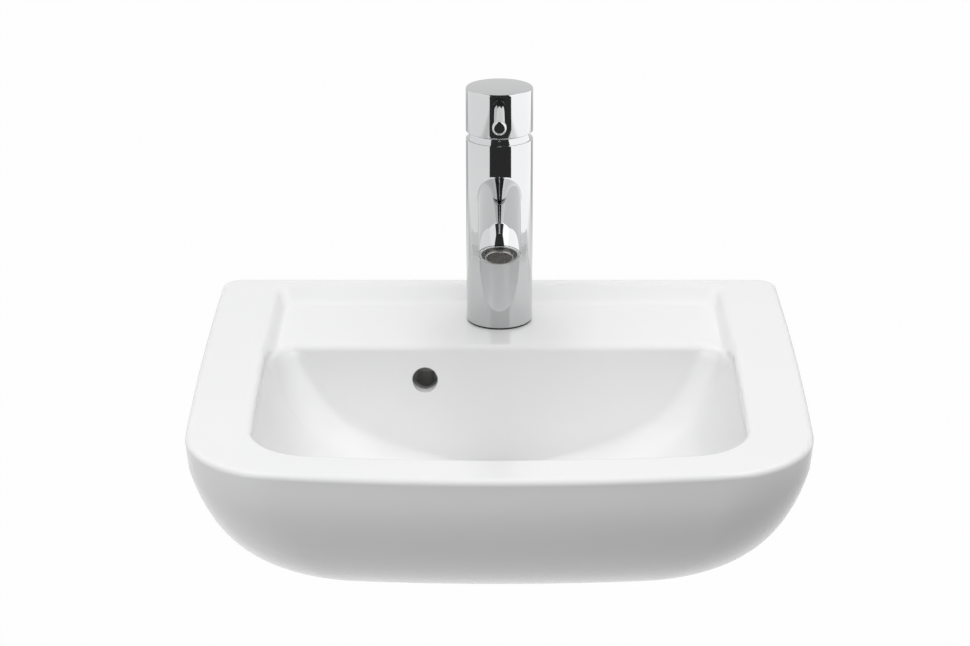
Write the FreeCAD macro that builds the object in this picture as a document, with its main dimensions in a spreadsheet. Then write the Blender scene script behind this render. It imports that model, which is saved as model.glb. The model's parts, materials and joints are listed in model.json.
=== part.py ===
"""Wall-hung hand basin with a single-lever mixer and a click waste, in millimetres.

The origin lies on the wall face, midway between the two wall fixing holes. +X is to the right
of someone who stands at the basin, +Y goes into the wall and +Z is up.
"""
import FreeCAD, Part
import Sketcher
import math
import os
import re
from collections import namedtuple

# Driving dimensions, written once and kept in the document's sheet.
SIZES = {
    # Ceramic basin: outer form
    "basin_width": 400.0,
    "basin_depth": 345.0,
    "rim_height": 60.0,
    "rim_band": 12.0,
    "rim_edge_radius": 4.5,
    "rim_corner_radius": 68.0,
    "wall_corner_radius": 10.0,
    "wall_face_trim": 0.5,
    "side_bow_radius": 5000.0,
    "front_bow_radius": 1050.0,
    "underside_depth": 128.0,
    "hull_run_on": 18.0,
    "keel_from_wall": 120.0,
    # Ceramic basin: walls, ledge and bowl
    "ceramic_wall": 10.0,
    "back_plate": 12.0,
    "ledge_drop": 8.5,
    "ledge_thickness": 12.0,
    "ledge_border": 15.0,
    "ledge_outset": 0.36,
    "ledge_slope": 5.0,
    "rim_side_width": 40.0,
    "rim_front_width": 33.0,
    "bowl_back": 112.0,
    "bowl_depth": 90.0,
    "bowl_corner_radius": 50.0,
    "bowl_back_corner_radius": 20.0,
    "ledge_nose_radius": 5.0,
    "bowl_edge_radius": 3.0,
    "well_radius": 36.0,
    # Ceramic basin: holes
    "tap_from_wall": 57.0,
    "tap_hole_diameter": 35.0,
    "waste_hole_diameter": 46.0,
    "boss_radius": 37.0,
    "boss_depth": 24.0,
    "overflow_diameter": 17.5,
    "overflow_offset": 51.0,
    "overflow_drop": 24.0,
    "duct_from_wall": 97.0,
    "duct_bore": 12.0,
    "duct_wall": 6.0,
    "duct_depth": 12.0,
    "fixing_spacing": 200.0,
    "fixing_hole_diameter": 14.0,
    "notch_width": 160.0,
    "notch_height": 36.0,
    # Tap: body, spout and base
    "tap_diameter": 46.0,
    "tap_height": 132.6,
    "gasket_diameter": 44.6,
    "gasket_bore": 36.0,
    "gasket_thickness": 1.2,
    "cartridge_bore": 35.6,
    "nut_bore": 40.0,
    "nut_shelf": 124.0,
    "seat_height": 84.0,
    "inlet_offset": 8.0,
    "inlet_forward": 4.0,
    "inlet_diameter": 9.2,
    "inlet_depth": 14.0,
    "channel_diameter": 7.0,
    "spout_height": 101.4,
    "spout_slope": 14.0,
    "spout_straight": 75.3,
    "spout_bend_radius": 23.4,
    "outlet_slope": 45.0,
    "outlet_straight": 1.0,
    "spout_root_diameter": 29.7,
    "spout_tip_diameter": 28.2,
    "spout_bore": 20.0,
    "braze_gap": 0.05,
    # Tap: aerator
    "aerator_thread": 24.0,
    "aerator_depth": 11.0,
    "lip_bore": 25.8,
    "lip_depth": 2.4,
    "aerator_set_back": 1.4,
    "aerator_length": 7.0,
    "insert_diameter": 18.4,
    "insert_proud": 1.3,
    "insert_edge": 0.6,
    "washer_thickness": 1.6,
    # Tap: cartridge
    "cartridge_diameter": 35.0,
    "cartridge_inside": 29.6,
    "cartridge_base_height": 8.0,
    "fixed_disc_diameter": 28.8,
    "disc_thickness": 4.0,
    "moving_disc_diameter": 22.0,
    "disc_gap": 0.05,
    "disc_pocket": 11.0,
    "carrier_diameter": 18.0,
    "carrier_height": 8.6,
    "carrier_socket": 8.0,
    "seal_outside": 12.0,
    "seal_height": 1.8,
    "turret_flange": 28.6,
    "turret_flange_height": 8.0,
    "turret_neck": 20.0,
    "turret_top": 132.0,
    "turret_gap": 0.3,
    "housing_lip": 24.0,
    "stem_width": 7.5,
    "stem_top": 164.0,
    "stem_ball": 7.0,
    "stem_waist": 5.6,
    "slot_width": 8.2,
    "slot_length": 18.6,
    "pivot_height": 128.0,
    "pivot_diameter": 3.0,
    "pivot_clearance": 0.05,
    "pivot_length": 17.0,
    "retaining_bore": 26.0,
    "retaining_height": 7.6,
    "thread_clearance": 0.2,
    # Tap: handle
    "dome_radius": 22.2,
    "dome_wall": 1.6,
    "dome_opening": 11.0,
    "dome_gap": 0.4,
    "cap_gap": 5.1,
    "cap_height": 30.4,
    "cap_top": 4.0,
    "cap_edge_radius": 1.2,
    "cap_lip_radius": 0.5,
    "hub_diameter": 18.0,
    "hub_height": 14.0,
    "socket_clearance": 0.1,
    "lift_limit": 11.0,
    "lever_drop": 7.0,
    "lever_length": 56.5,
    "lever_diameter": 7.0,
    "lever_knob": 9.2,
    "lever_knob_length": 9.0,
    "lever_knob_round": 4.2,
    "lever_spigot": 5.0,
    "lever_clearance": 0.02,
    "dimple_diameter": 11.0,
    "dimple_depth": 0.9,
    "grub_diameter": 5.0,
    "grub_length": 5.0,
    "grub_access": 6.0,
    "grub_key": 2.5,
    "grub_key_depth": 2.5,
    # Tap: fixings under the ledge
    "stud_diameter": 8.0,
    "stud_back": 9.0,
    "stud_depth": 14.0,
    "stud_length": 56.0,
    "clamp_diameter": 50.0,
    "clamp_seal_thickness": 3.0,
    "clamp_plate_thickness": 2.5,
    "clamp_slot_width": 28.0,
    "clamp_slot_back": 2.5,
    "clamp_hole": 8.6,
    "nut_across": 13.0,
    "nut_height": 8.0,
    # Waste
    "flange_diameter": 63.0,
    "flange_thickness": 2.6,
    "flange_seal_thickness": 1.6,
    "flange_seal_diameter": 59.0,
    "tail_diameter": 41.8,
    "tail_bore": 36.0,
    "tail_barrel": 40.2,
    "tail_length": 52.0,
    "tail_thread_length": 14.5,
    "seal_bore": 42.2,
    "lower_seal_diameter": 60.0,
    "lower_seal_thickness": 3.0,
    "waste_washer_thickness": 1.5,
    "backnut_across": 55.0,
    "backnut_height": 8.5,
    "bridge_drop": 22.0,
    "bridge_thickness": 5.0,
    "bridge_width": 8.0,
    "guide_diameter": 12.0,
    "guide_length": 22.0,
    "guide_collar": 16.0,
    "guide_collar_height": 3.0,
    "guide_bore": 7.0,
    "slot_window_width": 16.0,
    "slot_window_height": 8.0,
    "plug_diameter": 60.0,
    "plug_thickness": 4.5,
    "plug_edge": 2.2,
    "plug_seal_height": 1.6,
    "plug_edge_round": 1.0,
    "plug_hub": 14.0,
    "plug_hub_height": 4.0,
    "plug_stem_diameter": 6.4,
    "plug_stem_length": 36.0,
    "plug_thread": 5.0,
    "plug_thread_length": 4.0,
    "plug_seal_outside": 50.0,
    "plug_seal_section": 2.0,
    # One overrun serves every cut, one gap every loose seat
    "overrun": 1.0,
    "seat_gap": 0.1,
}

# Shares of the hull's height at which its outline is drawn, from the rim band down to the underside.
HULL_SHARES = (0.0, 0.081, 0.289, 0.52, 0.716, 0.878, 1.0)
# Shares of the hollow's height at which its outline is drawn, from the ledge down.
HOLLOW_SHARES = (0.0, 0.2, 0.45, 0.68, 0.86, 1.0)
# Bowl levels as shares of its depth, width, back reach and front reach; the second lies at the ledge.
BowlLevel = namedtuple("BowlLevel", "depth width back front")
BOWL_SHARES = (
    BowlLevel(0.0, 1.0, 1.0, 1.0),
    BowlLevel("(ledge_drop / bowl_depth)", 0.985, 0.985, 0.985),
    BowlLevel(0.30, 0.94, 0.93, 0.92),
    BowlLevel(0.55, 0.80, 0.80, 0.77),
    BowlLevel(0.75, 0.58, 0.60, 0.55),
    BowlLevel(0.90, 0.30, 0.35, 0.30),
    BowlLevel(1.0, 0.0, 0.0, 0.0),
)
WELL_ROUND_SHARE = 0.9
# How far along the bowl the waste lies.
WASTE_SHARE = 0.28
# How much of its width the hull loses over its depth, and how much its corners grow.
HULL_TAPER_SHARE = 0.233
HULL_CORNER_SHARE = 0.3
# Powers by which the hull's front and the hollow's front run back as they go down.
HULL_FRONT_POWER = "0.59"
HOLLOW_FRONT_POWER = "0.5"
# Sizes that follow from others: the hull's curve runs on below the underside where it is cut off, the
# bowl keeps the rim's width inside the basin, the ledge ends just outside the bowl's wall at its own
# level, and the waste keeps its share of the bowl's length.
FOLLOWING = {
    "hull_depth": "underside_depth + hull_run_on",
    "bowl_half_width": "basin_width / 2 - rim_side_width",
    "bowl_front": "basin_depth - rim_front_width",
    "ledge_half_width": f"well_radius + {BOWL_SHARES[1].width} * (bowl_half_width - well_radius) + ledge_outset",
    "waste_from_wall": f"bowl_back + {WASTE_SHARE} * (bowl_front - bowl_back)",
}
# Cuts through the underside start a little below it.
BELOW_UNDERSIDE = "(rim_height - underside_depth - overrun)"

X_AXIS = FreeCAD.Vector(1, 0, 0)
Y_AXIS = FreeCAD.Vector(0, 1, 0)
Z_AXIS = FreeCAD.Vector(0, 0, 1)
ORIGIN_POINT = (-1, 1)
# How near an edge lies to a level or a radius to count as on it.
FLATNESS = 1e-4

doc = FreeCAD.newDocument("hand_basin")
sheet = doc.addObject("Spreadsheet::Sheet", "Sizes")
rows = [(alias, str(length)) for alias, length in SIZES.items()]
rows += [(alias, "=" + formula) for alias, formula in FOLLOWING.items()]
for row, (alias, content) in enumerate(rows, start=1):
    sheet.set(f"A{row}", alias)
    sheet.set(f"B{row}", content)
    sheet.setAlias(f"B{row}", alias)
doc.recompute()

NAME_PATTERN = re.compile(r"[a-z][a-z_]*(?![a-z_(])")
parts = []


def ref(text):
    """Turn a formula in size names into one that names the sheet's cells."""
    return NAME_PATTERN.sub(lambda found: "Sizes." + found.group(0), str(text))


def size(text):
    """Work out a formula in size names."""
    return float(sheet.evalExpression(ref(text)))


# Where a sub-assembly stands: its place as formulas, and its turn.
Home = namedtuple("Home", "x y z turn")


def home(x="0", y="0", z="0", turn=FreeCAD.Rotation()):
    """Name a place by three formulas."""
    return Home(x, y, z, turn)


def place(thing, spot):
    """Put an object at a home, with its position bound to the sheet."""
    base = FreeCAD.Vector(size(spot.x), size(spot.y), size(spot.z))
    thing.Placement = FreeCAD.Placement(base, spot.turn)
    for letter, formula in zip("xyz", (spot.x, spot.y, spot.z)):
        thing.setExpression(f"Placement.Base.{letter}", ref(formula))


def new_body(label, spot):
    """Start a sub-part as a body at its home."""
    body = doc.addObject("PartDesign::Body", label)
    body.Label = label
    place(body, spot)
    parts.append(body)
    return body


def plane(body, role):
    """Find one of a body's own origin planes."""
    return next(each for each in body.Origin.OriginFeatures if each.Role == role)


def new_sketch(body, name, role="XY_Plane", level="0"):
    """Start a sketch on an origin plane of its body, raised by a formula."""
    sketch = body.newObject("Sketcher::SketchObject", name)
    sketch.AttachmentSupport = (plane(body, role), [""])
    sketch.MapMode = "FlatFace"
    sketch.AttachmentOffset = FreeCAD.Placement(Z_AXIS * size(level), FreeCAD.Rotation())
    sketch.setExpression("AttachmentOffset.Base.z", ref(level))
    return sketch


def bind(sketch, kind, *refs, formula):
    """Add a dimension to a sketch and drive it by a formula."""
    index = sketch.addConstraint(Sketcher.Constraint(kind, *refs, size(formula)))
    sketch.setExpression(f"Constraints[{index}]", ref(formula))


def pin_point(sketch, geometry, point, x, y):
    """Hold a sketch point at two formulas, on the upright axis, -2, or the level one, -1, where one is zero."""
    for kind, axis, formula in (("DistanceX", -2, x), ("DistanceY", -1, y)):
        if size(formula) == 0:
            sketch.addConstraint(Sketcher.Constraint("PointOnObject", geometry, point, axis))
        else:
            bind(sketch, kind, *ORIGIN_POINT, geometry, point, formula=formula)


def add_loop(sketch, points):
    """Draw a closed loop of straight lines through points given as pairs of formulas."""
    corners = [FreeCAD.Vector(size(x), size(y), 0) for x, y in points]
    first = sketch.GeometryCount
    count = len(corners)
    for index, corner in enumerate(corners):
        sketch.addGeometry(Part.LineSegment(corner, corners[(index + 1) % count]), False)
    for index, (x, y) in enumerate(points):
        following = first + (index + 1) % count
        sketch.addConstraint(Sketcher.Constraint("Coincident", first + index, 2, following, 1))
        pin_point(sketch, first + index, 1, x, y)


def add_circle(sketch, radius, x="0", y="0"):
    """Draw a circle of a formula's radius about a point."""
    centre = FreeCAD.Vector(size(x), size(y), 0)
    circle = sketch.addGeometry(Part.Circle(centre, Z_AXIS, size(radius)), False)
    bind(sketch, "Radius", circle, formula=radius)
    pin_point(sketch, circle, 3, x, y)


def hexagon(across):
    """Give the corners of a hexagon from its width across flats."""
    turns = [60 * corner for corner in range(6)]
    reach = f"({across}) / 2 / cos(30)"
    return [(f"{reach} * cos({turn})", f"{reach} * sin({turn})") for turn in turns]


def rectangle(x_low, x_high, y_low, y_high):
    """Give the corners of a rectangle."""
    return [(x_low, y_low), (x_high, y_low), (x_high, y_high), (x_low, y_high)]


def pad(body, sketch, length, name="pad"):
    """Raise a sketch into a solid."""
    feature = body.newObject("PartDesign::Pad", name)
    feature.Profile = sketch
    feature.setExpression("Length", ref(length))
    return feature


def pocket(body, sketch, length, name="pocket", reverse=False):
    """Cut a sketch out of the solid, downwards unless reversed."""
    feature = body.newObject("PartDesign::Pocket", name)
    feature.Profile = sketch
    feature.Reversed = reverse
    feature.setExpression("Length", ref(length))
    return feature


def turn_profile(body, points, name="turned"):
    """Turn a closed profile of radius and height pairs about the body's own upright axis."""
    sketch = new_sketch(body, name + "_profile", "XZ_Plane")
    add_loop(sketch, points)
    feature = body.newObject("PartDesign::Revolution", name)
    feature.Profile = sketch
    feature.ReferenceAxis = (sketch, ["V_Axis"])
    feature.Angle = 360
    return feature


def turned(label, spot, points):
    """Make a turned sub-part."""
    body = new_body(label, spot)
    turn_profile(body, points)
    return body


def ring(label, spot, bore, outside, low, high):
    """Make a plain ring from its two diameters and two levels."""
    inner, outer = f"({bore}) / 2", f"({outside}) / 2"
    return turned(label, spot, rectangle(inner, outer, low, high))


def cylinder(body, kind, radius, length, at, direction=Z_AXIS, name="cylinder"):
    """Add or take away a cylinder that starts at a point and runs along a direction."""
    feature = body.newObject(f"PartDesign::{kind}Cylinder", name)
    feature.setExpression("Radius", ref(radius))
    feature.setExpression("Height", ref(length))
    place(feature, home(*at, FreeCAD.Rotation(Z_AXIS, direction)))
    return feature


def drill(body, diameter, length, at, direction=Z_AXIS, name="hole"):
    """Drill a round hole."""
    return cylinder(body, "Subtractive", f"({diameter}) / 2", length, at, direction, name)


def cut_box(body, width, depth, height, at, name):
    """Take away a box that starts at its low corner."""
    box = body.newObject("PartDesign::SubtractiveBox", name)
    for side, formula in (("Length", width), ("Width", depth), ("Height", height)):
        box.setExpression(side, ref(formula))
    place(box, home(*at))


def round_edges(body, wanted, radius, name="rounding"):
    """Round the edges of the solid so far that a test picks."""
    doc.recompute()
    base = body.Tip
    edges = [f"Edge{number}" for number, edge in enumerate(base.Shape.Edges, start=1) if wanted(edge)]
    feature = body.newObject("PartDesign::Fillet", name)
    feature.Base = (base, edges)
    feature.setExpression("Radius", ref(radius))
    return feature


def lies_at(edge, level):
    """Say whether an edge lies flat at a level."""
    box = edge.BoundBox
    return abs(box.ZMin - level) < FLATNESS and abs(box.ZMax - level) < FLATNESS


def is_circle_at(radius, level):
    """Make a test for a round edge of a radius at a level, in the body's own frame."""
    wanted_radius, wanted_level = size(radius), size(level)

    def test(edge):
        curve = edge.Curve
        if not isinstance(curve, Part.Circle):
            return False
        off = max(abs(curve.Radius - wanted_radius), abs(curve.Center.z - wanted_level))
        return off < FLATNESS

    return test


# A basin outline in plan: half width, distances of its back and front from the wall, and its radii.
Outline = namedtuple("Outline", "half back front side_radius front_corner back_corner front_radius")


def outline_arcs(shape):
    """Work out the tangent chain of an outline: a straight back, then seven arcs round to it again.

    The side arcs stand square to the back line, and every corner arc touches its neighbours.
    """
    side_centre = FreeCAD.Vector(shape.half - shape.side_radius, -shape.back, 0)
    front_centre = FreeCAD.Vector(0, shape.front_radius - shape.front, 0)
    inner = shape.side_radius - shape.back_corner
    back_x = side_centre.x + math.sqrt(inner ** 2 - shape.back_corner ** 2)
    back_centre = FreeCAD.Vector(back_x, -shape.back - shape.back_corner, 0)

    # The front corner's centre is where two circles about the neighbours' centres cross.
    from_side = shape.side_radius - shape.front_corner
    from_front = shape.front_radius - shape.front_corner
    apart = front_centre - side_centre
    span = apart.Length
    along = (from_side ** 2 - from_front ** 2 + span ** 2) / (2 * span)
    across = math.sqrt(from_side ** 2 - along ** 2)
    unit = apart / span
    normal = FreeCAD.Vector(-unit.y, unit.x, 0)
    crossings = [side_centre + unit * along + normal * across * way for way in (1, -1)]
    corner_centre = max(crossings, key=lambda point: point.x)

    def touch(centre, other, radius):
        return centre + (other - centre).normalize() * radius

    back_end = FreeCAD.Vector(back_x, -shape.back, 0)
    side_start = touch(side_centre, back_centre, shape.side_radius)
    side_end = touch(side_centre, corner_centre, shape.side_radius)
    front_end = touch(front_centre, corner_centre, shape.front_radius)

    def mirror(point):
        return FreeCAD.Vector(-point.x, point.y, 0)

    def arc(centre, radius, start, end):
        low = math.atan2(start.y - centre.y, start.x - centre.x)
        high = math.atan2(end.y - centre.y, end.x - centre.x)
        if high < low:
            high += 2 * math.pi
        return Part.ArcOfCircle(Part.Circle(centre, Z_AXIS, radius), low, high)

    return [
        Part.LineSegment(back_end, mirror(back_end)),
        arc(mirror(back_centre), shape.back_corner, mirror(back_end), mirror(side_start)),
        arc(mirror(side_centre), shape.side_radius, mirror(side_start), mirror(side_end)),
        arc(mirror(corner_centre), shape.front_corner, mirror(side_end), mirror(front_end)),
        arc(front_centre, shape.front_radius, mirror(front_end), front_end),
        arc(corner_centre, shape.front_corner, front_end, side_end),
        arc(side_centre, shape.side_radius, side_end, side_start),
        arc(back_centre, shape.back_corner, side_start, back_end),
    ]


def outline_sketch(body, name, level, shape):
    """Draw an outline given as formulas, fully dimensioned, at a level."""
    sketch = new_sketch(body, name, "XY_Plane", level)
    chain = outline_arcs(Outline(*(size(formula) for formula in shape)))
    sketch.addGeometry(chain, False)
    count = len(chain)
    back_line, _, left_side, _, front_arc, _, right_side, _ = range(count)
    for index in range(count):
        sketch.addConstraint(Sketcher.Constraint("Tangent", index, 2, (index + 1) % count, 1))
    sketch.addConstraint(Sketcher.Constraint("Horizontal", back_line))
    pairs = ((1, shape.back_corner), (2, shape.side_radius), (3, shape.front_corner), (4, shape.front_radius))
    for index, formula in pairs:
        for each in {index, count - index}:
            bind(sketch, "Radius", each, formula=formula)
    back = f"-({shape.back})"
    reach = f"({shape.half}) - ({shape.side_radius})"
    if size(shape.back) == 0:
        sketch.addConstraint(Sketcher.Constraint("PointOnObject", back_line, 1, -1))
    else:
        bind(sketch, "DistanceY", *ORIGIN_POINT, back_line, 1, formula=back)
    pin_point(sketch, right_side, 3, reach, back)
    pin_point(sketch, left_side, 3, f"-({reach})", back)
    pin_point(sketch, front_arc, 3, "0", f"({shape.front_radius}) - ({shape.front})")
    return sketch


def loft(body, kind, sketches, name):
    """Add or take away a loft through sketches."""
    feature = body.newObject(f"PartDesign::{kind}Loft", name)
    feature.Profile = sketches[0]
    feature.Sections = sketches[1:]
    return feature


def hull_outline(share, power, inset, back):
    """Give the outline of the hull, or of the hollow in it, at a share of its depth."""
    half = f"(basin_width / 2 - {inset}) * (1 - {HULL_TAPER_SHARE} * ({share})^1.3)"
    front = f"keel_from_wall + (basin_depth - {inset} - keel_from_wall) * (1 - ({share})^2)^{power}"
    corner = f"(rim_corner_radius - {inset}) * (1 + {HULL_CORNER_SHARE} * ({share}))"
    return Outline(half, back, front, "side_bow_radius", corner, "wall_corner_radius", "front_bow_radius")


def bowl_outline(level, wall="0"):
    """Give the bowl's outline at one of its levels, grown by a wall where one is given."""
    half = f"well_radius + {level.width} * (bowl_half_width - well_radius) + {wall}"
    behind = "waste_from_wall - well_radius"
    back = f"{behind} - {level.back} * ({behind} - bowl_back) - {wall}"
    before = "waste_from_wall + well_radius"
    front = f"{before} + {level.front} * (bowl_front - ({before})) + {wall}"
    floor_round = f"well_radius * {WELL_ROUND_SHARE}"
    front_corner = f"{floor_round} + {level.width} * (bowl_corner_radius - {floor_round}) + {wall}"
    back_corner = f"{floor_round} + {level.width} * (bowl_back_corner_radius - {floor_round}) + {wall}"
    return Outline(half, back, front, "side_bow_radius", front_corner, back_corner, "front_bow_radius")


def make_basin():
    """Make the ceramic basin: a hull, hollow below, with the bowl, the tap ledge and its holes."""
    body = new_body("basin", home())
    add_hull(body)
    add_bowl(body)
    add_overflow_duct(body)
    cut_bowl_and_ledge(body)
    cut_holes(body)
    return body


def add_hull(body):
    """Build the outer form and hollow it from below."""
    band_level = "rim_height - rim_band"
    drop = "hull_depth - rim_band"
    sections = []
    for number, share in enumerate(HULL_SHARES):
        depth_share = f"({share} * (underside_depth - rim_band) / ({drop}))"
        level = f"{band_level} - {depth_share} * ({drop})"
        outline = hull_outline(depth_share, HULL_FRONT_POWER, "0", "-wall_face_trim")
        sections.append(outline_sketch(body, f"hull_{number}", level, outline))
    pad(body, sections[0], "rim_band", "rim_pad")
    loft(body, "Additive", sections, "hull")

    rim = size("rim_height")
    round_edges(body, lambda edge: lies_at(edge, rim), "rim_edge_radius", "rim_rounding")
    cut_box(body, "basin_width + 2 * overrun", "wall_face_trim + overrun", "underside_depth + 2 * overrun",
            ("-basin_width / 2 - overrun", "0", BELOW_UNDERSIDE), "wall_face")

    inner_drop = f"({drop} - ceramic_wall)"
    first = f"((ledge_drop + ledge_thickness - rim_band) / {inner_drop})"
    last = f"((underside_depth + overrun - rim_band) / {inner_drop})"
    sections = []
    for number, share in enumerate(HOLLOW_SHARES):
        depth_share = f"({first} + {share} * ({last} - {first}))"
        level = f"{band_level} - {depth_share} * {inner_drop}"
        outline = hull_outline(depth_share, HOLLOW_FRONT_POWER, "ceramic_wall", "back_plate")
        sections.append(outline_sketch(body, f"hollow_{number}", level, outline))
    loft(body, "Subtractive", sections, "hollow")


def add_bowl(body):
    """Hang the bowl's wall and the waste boss in the hollow."""
    sections = []
    for number, level in enumerate(BOWL_SHARES[1:]):
        height = f"rim_height - {level.depth} * (bowl_depth + ceramic_wall)"
        outline = bowl_outline(level, "ceramic_wall")
        sections.append(outline_sketch(body, f"bowl_wall_{number}", height, outline))
    loft(body, "Additive", sections, "bowl_wall")
    boss_bottom = "rim_height - bowl_depth - boss_depth"
    boss_length = "boss_depth - ceramic_wall / 2"
    at = ("0", "-waste_from_wall", boss_bottom)
    cylinder(body, "Additive", "boss_radius", boss_length, at, name="waste_boss")


def duct_places():
    """Give the overflow duct's top, its elbow and the direction from the elbow to the waste."""
    top = ("-overflow_offset", "-duct_from_wall", "rim_height - ledge_drop - ledge_thickness")
    elbow = ("-overflow_offset", "-duct_from_wall", "rim_height - bowl_depth - duct_depth")
    towards = FreeCAD.Vector(size("overflow_offset"), size("duct_from_wall - waste_from_wall"), 0)
    return top, elbow, towards


DUCT_FALL = "(bowl_depth + duct_depth - ledge_drop - ledge_thickness)"
DUCT_RUN = "sqrt(overflow_offset^2 + (waste_from_wall - duct_from_wall)^2)"


def add_overflow_duct(body):
    """Add the walls of the overflow duct: a fall behind the bowl and a run under it to the waste."""
    top, elbow, towards = duct_places()
    outside = "duct_bore / 2 + duct_wall"
    down = Z_AXIS * -1
    cylinder(body, "Additive", outside, DUCT_FALL, top, down, "duct_fall")
    cylinder(body, "Additive", outside, DUCT_RUN, elbow, towards, "duct_run")
    knee = body.newObject("PartDesign::AdditiveSphere", "duct_knee")
    knee.setExpression("Radius", ref(outside))
    place(knee, home(*elbow))


def cut_bowl_and_ledge(body):
    """Cut the bowl and the tap ledge into the rim and soften their edges."""
    sections = []
    for number, level in enumerate(BOWL_SHARES):
        lift = "overrun" if level.depth == 0 else "0"
        height = f"rim_height - {level.depth} * bowl_depth + {lift}"
        sections.append(outline_sketch(body, f"bowl_{number}", height, bowl_outline(level)))
    loft(body, "Subtractive", sections, "bowl")
    ledge_front = "bowl_back + bowl_back_corner_radius"
    sections = []
    steps = (("rim_height", "0"), ("rim_height - ledge_drop", "ledge_slope"))
    for number, (height, lean) in enumerate(steps):
        outline = Outline(
            f"ledge_half_width - {lean}",
            f"ledge_border + {lean}",
            ledge_front,
            "side_bow_radius",
            "wall_corner_radius",
            "wall_corner_radius",
            "side_bow_radius",
        )
        sections.append(outline_sketch(body, f"ledge_{number}", height, outline))
    loft(body, "Subtractive", sections, "ledge")

    ledge, rim = size("rim_height - ledge_drop"), size("rim_height")
    half, border, front = size("bowl_half_width"), size("ledge_border"), size("bowl_front")
    tap_line = size("tap_from_wall")

    def on_nose(edge):
        box = edge.BoundBox
        return lies_at(edge, ledge) and box.XLength > half and box.YMax < -tap_line

    def on_inner_rim(edge):
        box = edge.BoundBox
        inside = box.XMin >= -half and box.YMax <= -border and box.YMin >= -front
        return inside and lies_at(edge, rim)

    round_edges(body, on_nose, "ledge_nose_radius", "nose_rounding")
    round_edges(body, on_inner_rim, "bowl_edge_radius", "edge_rounding")


def cut_holes(body):
    """Cut the tap hole, the waste hole, the overflow, the wall fixing holes and the pipe notch."""
    through_ledge = ("0", "-tap_from_wall", "rim_height - ledge_drop - ledge_thickness - overrun")
    drill(body, "tap_hole_diameter", "ledge_thickness + 2 * overrun", through_ledge, name="tap_hole")
    through_boss = ("0", "-waste_from_wall", "rim_height - bowl_depth - boss_depth - overrun")
    drill(body, "waste_hole_diameter", "boss_depth + 2 * overrun", through_boss, name="waste_hole")

    top, elbow, towards = duct_places()
    mouth = ("-overflow_offset", "-duct_from_wall", "rim_height - ledge_drop - overflow_drop")
    mouth_reach = "bowl_back - duct_from_wall + ceramic_wall"
    drill(body, "overflow_diameter", mouth_reach, mouth, Y_AXIS * -1, "overflow_mouth")
    fall_top = (mouth[0], mouth[1], f"{mouth[2]} + overflow_diameter / 2 - duct_bore / 2")
    fall = f"{DUCT_FALL} + ledge_thickness - overflow_drop - overflow_diameter / 2 + duct_bore / 2"
    drill(body, "duct_bore", fall, fall_top, Z_AXIS * -1, "overflow_fall")
    drill(body, "duct_bore", DUCT_RUN, elbow, towards, "overflow_run")
    knee = body.newObject("PartDesign::SubtractiveSphere", "overflow_knee")
    knee.setExpression("Radius", ref("duct_bore / 2"))
    place(knee, home(*elbow))

    for way in ("-", ""):
        at = (f"{way}fixing_spacing / 2", "-back_plate - overrun", "0")
        drill(body, "fixing_hole_diameter", "back_plate + 2 * overrun", at, Y_AXIS, "fixing_hole")
    cut_box(body, "notch_width", "back_plate + 2 * overrun", "notch_height + overrun",
            ("-notch_width / 2", "-back_plate - overrun", BELOW_UNDERSIDE), "pipe_notch")


# The tap stands on the ledge, and its heights count from there.
TAP = home("0", "-tap_from_wall", "rim_height - ledge_drop")
CAP_BOTTOM = "(tap_height + cap_gap)"
CAP_TOP = f"({CAP_BOTTOM} + cap_height)"
LEVER_HEIGHT = f"({CAP_TOP} - lever_drop)"
FORWARD = Y_AXIS * -1
SIDES = ("-", "")


def make_tap_body():
    """Make the tap's body: a cylinder with the cartridge bore, two supply channels and the stud hole."""
    low = "gasket_thickness"
    body = turned("tap_body", TAP, [
        ("0", low),
        ("tap_diameter / 2", low),
        ("tap_diameter / 2", "tap_height"),
        ("nut_bore / 2", "tap_height"),
        ("nut_bore / 2", "nut_shelf"),
        ("cartridge_bore / 2", "nut_shelf"),
        ("cartridge_bore / 2", "seat_height"),
        ("0", "seat_height"),
    ])
    for way in SIDES:
        across = f"{way}inlet_offset"
        drill(body, "inlet_diameter", "inlet_depth", (across, "-inlet_forward", low), name="inlet")
        length = "seat_height - gasket_thickness"
        drill(body, "channel_diameter", length, (across, "-inlet_forward", low), name="channel")
    drill(body, "stud_diameter + 2 * seat_gap", "stud_depth", ("0", "stud_back", low), name="stud_hole")
    way_out = FreeCAD.Vector(0, -math.cos(math.radians(size("spout_slope"))),
                             -math.sin(math.radians(size("spout_slope"))))
    drill(body, "spout_bore", "tap_diameter", ("0", "0", "spout_height"), way_out, "spout_way")
    return body


def spout_path():
    """Work out the spout's centre line in the tap's upright mid plane, as distances forward and up."""
    slope = math.radians(size("spout_slope"))
    steep = math.radians(size("outlet_slope"))
    start = FreeCAD.Vector(0, size("spout_height"), 0)
    bend_start = start + FreeCAD.Vector(math.cos(slope), -math.sin(slope), 0) * size("spout_straight")
    radius = size("spout_bend_radius")
    centre = bend_start - FreeCAD.Vector(math.sin(slope), math.cos(slope), 0) * radius
    bend_end = centre + FreeCAD.Vector(math.sin(steep), math.cos(steep), 0) * radius
    outlet = bend_end + FreeCAD.Vector(math.cos(steep), -math.sin(steep), 0) * size("outlet_straight")
    middle = (slope + steep) / 2
    bend_middle = centre + FreeCAD.Vector(math.sin(middle), math.cos(middle), 0) * radius
    return start, bend_start, bend_middle, bend_end, outlet


def in_tap(point):
    """Take a point of the spout's mid plane into the tap's frame."""
    return FreeCAD.Vector(0, -point.x, point.y)


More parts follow.
